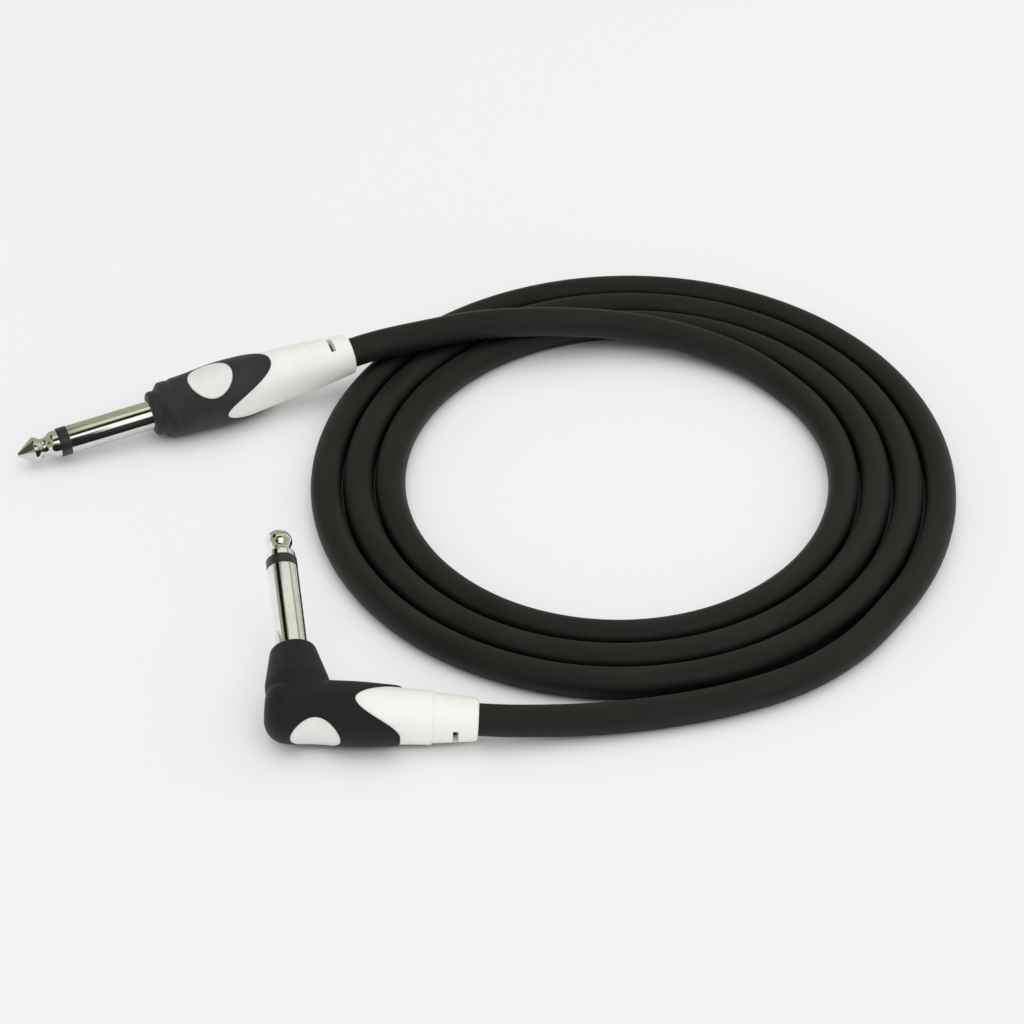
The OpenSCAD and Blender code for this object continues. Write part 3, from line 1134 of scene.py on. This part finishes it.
        # Shares of the badge's radius: even rings, then close ones where the rim falls off.
        shares = [0.1 * k for k in range(10)] + [0.93, 0.95, 0.97, 0.985, 0.992]
        columns = []
        for turn in around(self.badge_sides):
            column = [self.badge_point(share, turn) for share in shares]
            foot = column[-1].copy()
            foot.z -= self.badge_t
            columns.append([*column, foot, Vector((self.badge_x, 0, foot.z))])
        return shell_mesh(self.title("badge"), columns, False, self.place)

    def well(self) -> bpy.types.Mesh:
        """Build the round cutter of the badge's pocket.

        Returns:
            The mesh.
        """
        top = self.skin(self.badge_x) + self.well_clear
        outline = [(self.well_floor, 0), (self.well_floor, self.badge_r), (top, self.badge_r),
                   (top, 0)]
        upright = Matrix.Translation((self.badge_x * MM, 0, 0)) @ Matrix.Rotation(
            math.radians(-90), 4, "Y"
        )
        return shell_mesh("well", spin(outline, self.badge_sides), False, self.place @ upright)

    def collar_mesh(self) -> bpy.types.Mesh:
        """Build the collar with its two windows.

        Returns:
            The mesh.
        """
        name = self.title("collar")
        end = self.lie.length
        # Station and radius of each corner, and its fillet.
        outline = filleted(
            [
                (self.seam, self.cable_r),
                (self.seam, self.collar_r - self.collar_ease, 0.05),
                (self.seam + 0.25, self.collar_r, 0.15),
                (end - 1.1, self.mouth_r, 0.8),
                (end - 0.35, self.mouth_r - 0.16, 0.3),
                (end, self.mouth_r - 0.6, 0.2),
                (end - 0.05, self.cable_r + 0.2, 0.1),
                (end - 0.5, self.cable_r),
            ]
        )
        mesh = shell_mesh(name, spin(outline, self.round_sides), True, self.place)
        for side in (0.0, math.pi):
            mesh = cut(mesh, self.window_tool(side), name)
        return mesh

    def window_tool(self, side: float) -> bpy.types.Mesh:
        """Build the cutter of one window, with a slope on its rear side.

        Args:
            side: turn of the window round the axis.

        Returns:
            The mesh.
        """
        x = self.lie.length - self.window_at
        front, rear = x - self.window_len / 2, x + self.window_len / 4
        high, low = self.collar_r + 1.0, 0.5
        outline = [(x + self.window_len, high), (front, high), (front, low), (rear, low),
                   (rear, self.cable_r)]
        work = bmesh.new()
        near = [work.verts.new((px, -self.window_w / 2, pz)) for px, pz in outline]
        far = [work.verts.new((px, self.window_w / 2, pz)) for px, pz in outline]
        work.faces.new(near)
        work.faces.new(list(reversed(far)))
        for k in range(len(outline)):
            n = (k + 1) % len(outline)
            work.faces.new((near[k], near[n], far[n], far[k]))
        bmesh.ops.recalc_face_normals(work, faces=work.faces)
        turned = self.place @ Matrix.Rotation(side, 4, "X") @ Matrix.Scale(MM, 4)
        bmesh.ops.transform(work, matrix=turned, verts=work.verts)
        return baked(work, "window")

    def grip_mesh(self) -> bpy.types.Mesh:
        """Return the grip with its badge pocket."""
        whole = shell_mesh(self.title("grip"), self.grip_columns(), True, self.place)
        return cut(whole, self.well(), self.title("grip"))

    def build(self) -> list[bpy.types.Object]:
        """Build grip, shell, collar and badge.

        Returns:
            The four pieces.
        """
        shell = shell_mesh(self.title("shell"), self.shell_columns(), True, self.place)
        meshes = {
            "grip": (self.grip_mesh(), Slot.GRIP_BLACK),
            "shell": (shell, Slot.SHELL_WHITE),
            "collar_mould": (self.collar_mesh(), Slot.SHELL_WHITE),
            "badge": (self.badge_mesh(), Slot.BADGE_WHITE),
        }
        return [clad(mesh, self.prefix, part, slot) for part, (mesh, slot) in meshes.items()]


@dataclass
class StraightSkin(PlugSkin):
    """Skin of the straight plug: beaded lip, stepped shoulder and a full belly."""

    lobe: float = 15.6
    lap: float = 28.2
    lap_high: float = 6.52
    proud: float = 0.25
    seam: float = 36.8
    badge_x: float = 14.1
    collar_r: float = 5.43
    mouth_r: float = 4.5
    hollow: float = 2.4
    seam_round: float = 0.06
    collar_ease: float = 0.02
    lip_r: float = 5.0
    bead: float = 0.9
    valley: float = 0.15
    shoulder_r: float = 6.25
    groove_x: float = 5.4
    groove: float = 0.26
    groove_half: float = 0.8
    groove_rise: float = 0.12
    belly: Point = (17.5, 6.92)
    waist: Point = (32.8, 5.97)
    end_r: float = 5.5

    def nose(self) -> list[Point]:
        """Outline the grip's front: shank hole, lip, shoulder, groove and rising side.

        Returns:
            The outline, to where the border starts.
        """
        behind = self.groove_x + self.groove_half
        # Station and radius of each corner, and its fillet.
        front = filleted(
            [
                (self.hollow, self.shank_r),
                (0, self.shank_r, 0.1),
                (0, self.lip_r, self.bead),
                (1.9, self.lip_r - self.valley, 0.5),
                (3.1, self.shoulder_r, 0.8),
                (self.groove_x - self.groove_half, self.shoulder_r, 0.5),
                (self.groove_x, self.shoulder_r + self.groove_rise - self.groove, 0.6),
                (behind, self.skin(behind), 0.5),
                (behind + 1.0, self.skin(behind + 1.0)),
            ],
            steps=8,
        )
        rest = [7.5 + self.station_gap * k for k in range(18)]
        return front + [(x, self.skin(x)) for x in rest]

    def skin(self, x: float) -> float:
        """Find the grip's radius: rising to the belly, then falling to the waist.

        Args:
            x: the station.

        Returns:
            The radius.
        """
        if x < self.belly[0]:
            behind = self.groove_x + self.groove_half
            return swell(x, (behind, self.shoulder_r + self.groove_rise), self.belly)
        return swell(x, self.belly, self.waist)

    def shell_r(self, x: float) -> float:
        """Find the white shell's radius: along the grip's line, then straight to its end.

        Args:
            x: the station.

        Returns:
            The radius.
        """
        if x <= self.waist[0]:
            return self.skin(x) - self.proud
        share = (x - self.waist[0]) / (self.seam - self.waist[0])
        return self.waist[1] - self.proud + (self.end_r - self.waist[1] + self.proud) * share


@dataclass
class AngleSkin(PlugSkin):
    """Skin of the right-angle plug: domed elbow, barrel, and a boot for the finger."""

    lobe: float = 10.7
    lap: float = 19.8
    lap_high: float = 6.1
    proud: float = 0.4
    seam: float = 26.0
    badge_x: float = 3.2
    collar_r: float = 5.05
    mouth_r: float = 4.4
    hollow: float = -4.4
    grip_r: float = 6.5
    end_x: float = -7.1
    round_r: float = 4.5
    flat_x: float = 9.0
    end_r: float = 5.4
    boot_reach: float = 14.6
    boot_r: float = 4.5
    boot_base_r: float = 6.45
    boot_lip: float = 1.2
    boot_full: float = 6.4
    elbow: float = 99.5
    dome_steps: int = 18

    def skin(self, x: float) -> float:
        """Find the grip's radius: dome, barrel, then falling to the shell's end.

        Args:
            x: the station.

        Returns:
            The radius.
        """
        dome = self.end_x + self.round_r
        if x < dome:
            rise = math.sqrt(max(0.0, self.round_r**2 - (dome - x) ** 2))
            return self.grip_r - self.round_r + rise
        if x < self.flat_x:
            return self.grip_r
        return swell(x, (self.flat_x, self.grip_r), (self.seam, self.end_r + self.proud))

    def shell_r(self, x: float) -> float:
        """Return the white shell's radius at a station."""
        return self.skin(x) - self.proud

    def nose(self) -> list[Point]:
        """Outline the grip's closed end: a small flat, the dome and the barrel.

        Returns:
            The outline, to where the border starts.
        """
        outline = [(self.end_x, 0.02), (self.end_x, 1.0)]
        for step in range(self.dome_steps + 1):
            turn = math.pi / 2 * step / self.dome_steps
            x = self.end_x + self.round_r * (1 - math.cos(turn))
            outline.append((x, self.grip_r - self.round_r * (1 - math.sin(turn))))
        return outline + [(-2.4 + self.station_gap * k, self.grip_r) for k in range(32)]

    def elbow_matrix(self) -> Matrix:
        """Carry the finger's frame to the plug's.

        Returns:
            The matrix, in metres.
        """
        return (
            Matrix.Rotation(math.radians(self.elbow), 4, "Y")
            @ Matrix.Rotation(math.pi, 4, "Z")
            @ Matrix.Translation((-self.boot_reach * MM, 0, 0))
        )

    def grip_columns(self) -> list[Column]:
        """Outline the grip as other plugs' grips, but close its hollow at the elbow.

        Returns:
            The closed outlines.
        """
        columns = super().grip_columns()
        for column in columns:
            column += [Vector((self.hollow, 0, 0)), Vector((self.hollow - 1, 0, 0))]
        return columns

    def grip_mesh(self) -> bpy.types.Mesh:
        """Build the barrel with its badge pocket, and the boot that grows out of it.

        Returns:
            The mesh.
        """
        barrel = super().grip_mesh()
        # Station and radius of each corner, and its fillet.
        outline = filleted(
            [
                (4.0, self.shank_r),
                (0, self.shank_r, 0.1),
                (0, self.boot_r, self.boot_lip),
                (self.boot_reach - self.boot_full, self.boot_base_r, 4.0),
                (self.boot_reach, self.boot_base_r),
                (self.boot_reach, self.shank_r),
            ],
            steps=10,
        )
        place = self.place @ self.elbow_matrix()
        boot = shell_mesh("boot", spin(outline, self.round_sides), True, place)
        return joined([barrel, boot], self.title("grip"))


# ---------------------------------------------------------------------- the cable


@dataclass
class CableRun:
    """The free cable: out of one mouth, round the coil and into the other.

    Each turn of the coil lies `pitch` outside the one before, a little more on the near side.
    """

    start: Lie
    finish: Lie
    radius: float = 3.25
    sides: int = 28
    ring_gap: float = 1.7
    point_gap: float = 1.2
    exit_run: float = 6.5
    entry_run: float = 6.0
    coil_centre: Point = (80.78, 22.51)
    coil_r: float = 46.2
    oval: float = 1.4
    oval_way: float = 72.0
    pitch: float = 6.88
    near_slack: float = 0.2
    pitch_from: float = 90.0
    first_turn: int = 36
    turn_step: int = 6
    coil_points: int = 193
    shift: Point = (-1.22, 0.01)
    over_points: Sequence[Triple] = (
        (39, 64.2, 9.95),
        (49.5, 67.4, 9.95),
        (60, 68.7, 9.9),
        (70.5, 70.2, 8.8),
        (82, 71, 7.2),
        (96.9, 68.4, 5.5),
        (110.3, 61.3, 4.3),
    )
    out_points: Sequence[Triple] = (
        (127.8, -31, 3.25),
        (116, -40.8, 3.25),
        (102, -47.2, 3.25),
        (87, -51.2, 3.25),
        (72, -53.8, 3.8),
    )

    def coil_point(self, turn: float) -> Vector:
        """Find the middle of the cable at one place of the coil.

        Args:
            turn: degrees, falling from the inner turn to the outer one.

        Returns:
            The point.
        """
        a = math.radians(turn)
        r = self.coil_r + self.oval * math.cos(2 * (a - math.radians(self.oval_way)))
        r += (self.pitch - self.near_slack * math.sin(a)) * (self.pitch_from - turn) / 360
        cx, cy = self.coil_centre
        return Vector((cx + r * math.cos(a), cy + r * math.sin(a), self.radius))

    def knots(self) -> list[Vector]:
        """List the points that the cable passes through.

        Returns:
            The points, from mouth to mouth.
        """
        shift = Vector((*self.shift, 0))
        first, last = Vector(self.start.mouth), Vector(self.finish.mouth)
        out, into = self.start.way(), self.finish.way()
        turns = [self.first_turn - self.turn_step * k for k in range(self.coil_points)]
        return (
            [first - out, first, first + out * self.exit_run]
            + [Vector(p) + shift for p in self.over_points]
            + [self.coil_point(turn) for turn in turns]
            + [Vector(p) + shift for p in self.out_points]
            + [last + into * self.entry_run, last, last - into]
        )

    def line(self) -> list[Vector]:
        """Draw one smooth curve through the knots.

        Returns:
            Close points along it.
        """
        knots = self.knots()
        points: list[Vector] = []
        for k in range(len(knots) - 1):
            four = knots[max(0, k - 1)], knots[k], knots[k + 1], knots[min(len(knots) - 1, k + 2)]
            steps = max(2, round((four[2] - four[1]).length / self.point_gap))
            points += [self.smooth(*four, s / steps) for s in range(steps)]
        return points + [knots[-1]]

    @staticmethod
    def smooth(p0: Vector, p1: Vector, p2: Vector, p3: Vector, share: float) -> Vector:
        """Find a point on a centripetal curve through four points.

        Args:
            p0: the point before.
            p1: where the piece of curve starts.
            p2: where it ends.
            p3: the point after.
            share: 0 at p1 and 1 at p2.

        Returns:
            The point.
        """
        ends = [0.0]
        for a, b in ((p0, p1), (p1, p2), (p2, p3)):
            ends.append(ends[-1] + max(1e-4, (b - a).length) ** 0.5)
        t0, t1, t2, t3 = ends
        t = t1 + (t2 - t1) * share
        a1 = p0 * ((t1 - t) / (t1 - t0)) + p1 * ((t - t0) / (t1 - t0))
        a2 = p1 * ((t2 - t) / (t2 - t1)) + p2 * ((t - t1) / (t2 - t1))
        a3 = p2 * ((t3 - t) / (t3 - t2)) + p3 * ((t - t2) / (t3 - t2))
        b1 = a1 * ((t2 - t) / (t2 - t0)) + a2 * ((t - t0) / (t2 - t0))
        b2 = a2 * ((t3 - t) / (t3 - t1)) + a3 * ((t - t1) / (t3 - t1))
        return b1 * ((t2 - t) / (t2 - t1)) + b2 * ((t - t1) / (t2 - t1))

    def build(self) -> list[bpy.types.Object]:
        """Returns:
            The cable alone.
        """
        points = [p * MM for p in self.line()]
        curve = bpy.data.curves.new("cable_line", "CURVE")
        curve.dimensions = "3D"
        spline = curve.splines.new("POLY")
        spline.points.add(len(points) - 1)
        for knot, point in zip(spline.points, points):
            knot.co = (*point, 1)
        guide = placed("cable_guide", curve)
        material = FINISHES.of(Slot.JACKET)
        mesh = JacketTree(self.radius * MM, self.ring_gap * MM, self.sides, material).sweep(guide)
        bpy.data.objects.remove(guide)
        cable = placed("cable_jacket", mesh)
        dress(cable, Slot.JACKET, "cable")
        length = sum((b - a).length for a, b in zip(points, points[1:]))
        LOG.info("%s: %.3f m long", cable.name, length)
        2 * self.radius * MM
        return [cable]


@dataclass
class JacketTree:
    """Geometry Nodes that sweep a round jacket along a curve, with lengths in metres."""

    radius: float
    ring_gap: float
    sides: int
    material: bpy.types.Material
    tree: bpy.types.GeometryNodeTree = field(init=False)

    def __post_init__(self) -> None:
        """Build the tree with its named inputs."""
        self.tree = bpy.data.node_groups.new("jacket_sweep", "GeometryNodeTree")
        face = self.tree.interface
        face.new_socket("Geometry", in_out="INPUT", socket_type="NodeSocketGeometry")
        for name, kind in (
            ("Jacket radius", "NodeSocketFloat"),
            ("Ring gap", "NodeSocketFloat"),
            ("Sides", "NodeSocketInt"),
            ("Jacket finish", "NodeSocketMaterial"),
        ):
            face.new_socket(name, in_out="INPUT", socket_type=kind)
        face.new_socket("Geometry", in_out="OUTPUT", socket_type="NodeSocketGeometry")
        self._wire()

    def _add(
        self, kind: str, inputs: Inputs, output: Union[str, int] = 0, **settings: object
    ) -> bpy.types.NodeSocket:
        """Return an output of a new node."""
        return add_node(self.tree, kind, settings, inputs).outputs[output]

    def _stored(
        self, geometry: bpy.types.NodeSocket, name: str, value: bpy.types.NodeSocket
    ) -> bpy.types.NodeSocket:
        """Return a curve with a number stored on each of its points."""
        inputs = {"Geometry": geometry, "Name": name, "Value": value}
        return self._add("GeometryNodeStoreNamedAttribute", inputs, data_type="FLOAT", domain="POINT")

    def _wire(self) -> None:
        """Wire resampling, sweeping, smooth shading and the finish."""
        source = self.tree.nodes.new("NodeGroupInput").outputs
        even = self._add(
            "GeometryNodeResampleCurve",
            {"Curve": source["Geometry"], "Length": source["Ring gap"]},
            mode="LENGTH",
        )
        upright = self._add("GeometryNodeSetCurveNormal", {"Curve": even}, mode="Z_UP")
        length = self._add("GeometryNodeSplineParameter", {}, "Length")
        run = self._stored(upright, "along", length)
        ring = self._add(
            "GeometryNodeCurvePrimitiveCircle",
            {"Resolution": source["Sides"], "Radius": source["Jacket radius"]},
            mode="RADIUS",
        )
        turn = self._add("GeometryNodeSplineParameter", {}, "Factor")
        profile = self._stored(ring, "around", turn)
        swept = self._add(
            "GeometryNodeCurveToMesh", {"Curve": run, "Profile Curve": profile, "Fill Caps": True}
        )
        smooth = self._add("GeometryNodeSetShadeSmooth", {"Geometry": swept, "Shade Smooth": True})
        real = self._add("GeometryNodeRealizeInstances", {"Geometry": smooth})
        dressed = self._add(
            "GeometryNodeSetMaterial", {"Geometry": real, "Material": source["Jacket finish"]}
        )
        add_node(self.tree, "NodeGroupOutput", {}, {"Geometry": dressed})

    def sweep(self, guide: bpy.types.Object) -> bpy.types.Mesh:
        """Run the tree on a curve object.

        Args:
            guide: the curve to follow.

        Returns:
            The swept mesh.
        """
        modifier = guide.modifiers.new("jacket", "NODES")
        modifier.node_group = self.tree
        values = {
            "Jacket radius": self.radius,
            "Ring gap": self.ring_gap,
            "Sides": self.sides,
            "Jacket finish": self.material,
        }
        for item in self.tree.interface.items_tree:
            if item.in_out == "INPUT" and item.name in values:
                modifier[item.identifier] = values[item.name]
        bpy.context.view_layer.update()
        graph = bpy.context.evaluated_depsgraph_get()
        return bpy.data.meshes.new_from_object(guide.evaluated_get(graph), depsgraph=graph)


# ---------------------------------------------------------------------- the studio


@dataclass(frozen=True)
class SoftBox:
    """A soft lamp: the way it hangs in, how far, its two edges and its radiance."""

    name: str
    way: Triple
    far: float
    size: Point
    radiance: float


@dataclass(frozen=True)
class Card:
    """A flat card that draws a stripe in the metal: its middle and half of both its edges."""

    name: str
    middle: Triple
    across: Triple
    up: Triple
    radiance: float
    colour: Triple = (1.0, 1.0, 1.0)


CREAM = (1.0, 0.99, 0.88)
UMBER = (1.0, 0.85, 0.7)
SOFT_BOXES = (
    SoftBox("overhead", (0.0, 0.1, 1.0), 1.4, (1.6, 1.2), 1.15),
    SoftBox("front_box", (0.42, -0.58, 0.67), 1.1, (0.8, 0.84), 1.2),
    SoftBox("low_box", (0.3, -0.9, 0.25), 1.2, (1.3, 0.4), 1.5),
    SoftBox("left_box", (-0.95, -0.1, 0.3), 1.1, (0.7, 0.5), 1.6),
    SoftBox("right_box", (0.75, 0.4, 0.45), 1.2, (0.8, 0.7), 1.2),
)
CARDS = (
    Card("front_glow", (0.239, -0.485, 0.549), (0.309, 0.164, 0.0), (-0.068, 0.130, 0.175), 1.35),
    Card("front_dark", (0.337, -0.672, 0.12), (0.618, 0.328, 0.0), (0.0, 0.0, 0.12), 0.02),
    Card("near_dark", (-0.0317, 0.0243, 0.0056), (0.0176, 0.0071, 0.0), (0.0, 0.0, 0.0056), 0.02),
    Card("top_dark", (0.052, -0.111, 0.476), (0.17, 0.104, 0.0), (-0.040, 0.065, 0.028), 0.01),
    Card("back_dark", (-0.211, 0.09, 0.327), (0.066, -0.003, 0.044), (0.026, 0.142, -0.032), 0.01),
    Card("over_glow", (0.060, 0.089, 0.267), (0.132, 0.035, -0.052), (-0.016, 0.04, -0.013),
         0.98, CREAM),
    Card("right_glow", (0.374, 0.296, 0.14), (-0.098, 0.113, 0.0), (0.0, 0.0, 0.14), 0.78, CREAM),
    Card("left_glow", (-0.001, -0.0175, 0.0153), (-0.0023, 0.0153, 0.0042),
         (-0.0037, -0.0029, 0.0084), 1.05),
    Card("ball_dark", (-0.010, -0.086, 0.082), (0.024, 0.0, 0.0), (0.0, 0.015, 0.018), 0.02),
    Card("cone_dark", (-0.0671, 0.0253, 0.0110), (0.0025, -0.0120, 0.0), (0.0, 0.0, 0.0095),
         0.1, UMBER),
)


@dataclass
class Studio:
    """Pale floor, surroundings, soft lamps, reflection cards and the camera.

    The lens and the film are in millimetres, as a camera's are, and all else is in metres.
    """

    lens: float = 122.2
    film: float = 36.0
    clip: Point = (0.01, 50.0)
    camera_at: Triple = (0.05658, -0.55330, 0.47645)
    look_down: float = 40.0
    middle: Triple = (0.04, 0.0, 0.0)
    floor_half: float = 3.0
    floor_pale: Triple = (0.87, 0.87, 0.875)
    # The next colour is painted shade, which the floor takes in narrow gaps.
    floor_gap_shade: Triple = (0.03, 0.03, 0.03)
    floor_glow: Triple = (0.912, 0.912, 0.917)
    glow_share: float = 0.72
    # How fast the floor's glow fades near the part: partly painted shade, partly letting the real
    # shadow show.
    glow_shade_fall: float = 1.6
    gap_shade_reach: float = 0.014
    gap_open: Point = (0.05, 0.3)
    sky_strength: float = 0.46
    sky_light: Triple = (0.95, 0.95, 0.93)
    sky_mirrored: Triple = (0.99, 0.96, 0.68)
    sky_seen: Triple = (0.9, 0.9, 0.9)

    def camera(self) -> None:
        """Make the scene's camera."""
        data = bpy.data.cameras.new("camera")
        data.lens = self.lens
        data.sensor_width = self.film
        data.clip_start, data.clip_end = self.clip
        made = placed("camera", data)
        made.location = self.camera_at
        made.rotation_euler = (math.radians(90 - self.look_down), 0, 0)
        bpy.context.scene.camera = made

    @staticmethod
    def panel(
        name: str, middle: Triple, across: Triple, up: Triple, finish: bpy.types.Material
    ) -> bpy.types.Object:
        """Make a flat four-cornered piece of the stage.

        Args:
            name: its name.
            middle: its middle.
            across: half of one edge.
            up: half of the other.
            finish: its material.

        Returns:
            The piece.
        """
        centre, right, top = Vector(middle), Vector(across), Vector(up)
        corners = [centre + i * right + k * top for i, k in ((-1, -1), (1, -1), (1, 1), (-1, 1))]
        mesh = bpy.data.meshes.new(name)
        mesh.from_pydata(corners, [], [(0, 1, 2, 3)])
        mesh.materials.append(finish)
        return placed(name, mesh)

    def floor(self) -> None:
        """Make the pale floor, plain to the eye and in reflections, with painted shade in narrow gaps
        and near the part.
        """
        shade = Shade(bpy.data.materials.new("floor"))
        open_sky = shade.openness(self.gap_shade_reach)
        # Painted shade: in narrow gaps the floor's own colour turns near black.
        free = open_sky.between(*self.gap_open)
        pale = shade.blend(free, rgb(*self.floor_gap_shade), rgb(*self.floor_pale))
        matte = shade.node("ShaderNodeBsdfDiffuse", inputs={"Color": pale})
        seen = shade.rays("Is Camera Ray", "Is Glossy Ray", "Is Transmission Ray")
        # Partly painted shade: the glow fades where the floor is hemmed in, so the real shadow of the
        # matte floor shows there.
        share = seen * self.glow_share * open_sky**self.glow_shade_fall
        part = shade.mix(share, matte, shade.glow(rgb(*self.floor_glow), 1.0))
        half = self.floor_half
        self.panel("floor", (0, 0, 0), (half, 0, 0), (0, half, 0), shade.out(part))

    def world(self) -> None:
        """Make the pale surroundings, dimmer as a light than they look."""
        bpy.context.scene.world = bpy.data.worlds.new("surroundings")
        shade = Shade(bpy.context.scene.world)
        mirrored = shade.rays("Is Glossy Ray")
        tint = shade.blend(mirrored, rgb(*self.sky_light), rgb(*self.sky_mirrored))
        kind = "ShaderNodeBackground"
        light = shade.node(kind, inputs={"Color": tint, "Strength": self.sky_strength})
        plain = shade.node(kind, inputs={"Color": rgb(*self.sky_seen)})
        seen = shade.rays("Is Camera Ray", "Is Transmission Ray")
        shade.out(shade.mix(seen, light, plain), "ShaderNodeOutputWorld")

    def lamp(self, box: SoftBox) -> None:
        """Hang a soft lamp that faces the middle of the part.

        Args:
            box: its place, size and radiance.
        """
        data = bpy.data.lights.new(box.name, "AREA")
        data.shape = "RECTANGLE"
        data.size, data.size_y = box.size
        data.energy = box.radiance * math.pi * box.size[0] * box.size[1]
        out = Vector(box.way).normalized()
        made = placed(box.name, data)
        made.visible_glossy = False
        made.location = Vector(self.middle) + out * box.far
        made.rotation_mode = "QUATERNION"
        made.rotation_quaternion = (-out).to_track_quat("-Z", "Y")

    def card(self, card: Card) -> None:
        """Hang a dark or glowing card, which only reflections see.

        Args:
            card: its place, edges and radiance.
        """
        shade = Shade(bpy.data.materials.new(card.name))
        finish = shade.out(shade.glow(rgb(*card.colour), card.radiance))
        made = self.panel(card.name, card.middle, card.across, card.up, finish)
        made.visible_camera = False
        made.visible_shadow = False
        made.visible_diffuse = False

    def lights(self) -> None:
        """Hang the soft lamps, and the cards that draw stripes in the metal."""
        for box in SOFT_BOXES:
            self.lamp(box)
        for card in CARDS:
            self.card(card)


# ---------------------------------------------------------------------- the whole part


INNER_SLOTS = {
    "inner_tube": Slot.INSULATOR,
    "rear_washer": Slot.INSULATOR,
    "tip_tag": Slot.TAG_BRASS,
    "sleeve_tag": Slot.TAG_BRASS,
    "inner_mould": Slot.MOULD_BLACK,
    "core_wire": Slot.CORE_WHITE,
    "screen_pigtail": Slot.COPPER,
    "jacket_end": Slot.JACKET,
}


def finish_inner_nodes(prefix: str) -> list[bpy.types.Object]:
    """Give the sealed pieces of a plug their finishes.

    Args:
        prefix: the plug's name.

    Returns:
        The pieces.
    """
    nodes = []
    for part, slot in INNER_SLOTS.items():
        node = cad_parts[f"{prefix}_{part}"]
        for held in node.material_slots:
            held.material = FINISHES.of(slot)
        nodes.append(node)
    return nodes


def main() -> None:
    """Build the part from its cable to its plugs, light it and report each piece."""
    logging.basicConfig(level=logging.INFO, format="%(name)s: %(message)s")
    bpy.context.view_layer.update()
    studio = Studio()
    studio.camera()
    straight_lie = Lie(mouth=(20.88, 57.81, 9.449), roll=10, pitch=-4.3, heading=22, length=46.5)
    angle_lie = Lie(mouth=(49.98, -55.39, 5.321), roll=105, pitch=3, heading=-0.5, length=35)
    straight = StraightSkin("straight", straight_lie)
    angle = AngleSkin("angle", angle_lie)
    tip_up = angle.place @ angle.elbow_matrix()
    pieces = CableRun(straight_lie, angle_lie).build()
    pieces += straight.build()
    pieces += ConeFinger("straight", straight.place, reach=30.2, tip_len=9.2).build()
    pieces += angle.build()
    pieces += BallFinger("angle", tip_up, reach=28.6, tip_len=7.2).build()
    for prefix in ("straight", "angle"):
        pieces += finish_inner_nodes(prefix)
    for piece in pieces:
        LOG.info("%s: %d faces", piece.name, len(piece.data.polygons))
    studio.floor()
    studio.world()
    studio.lights()
    bpy.context.scene.view_settings.view_transform = "Standard"
    bpy.context.view_layer.update()


if __name__ == "__main__":
    main()
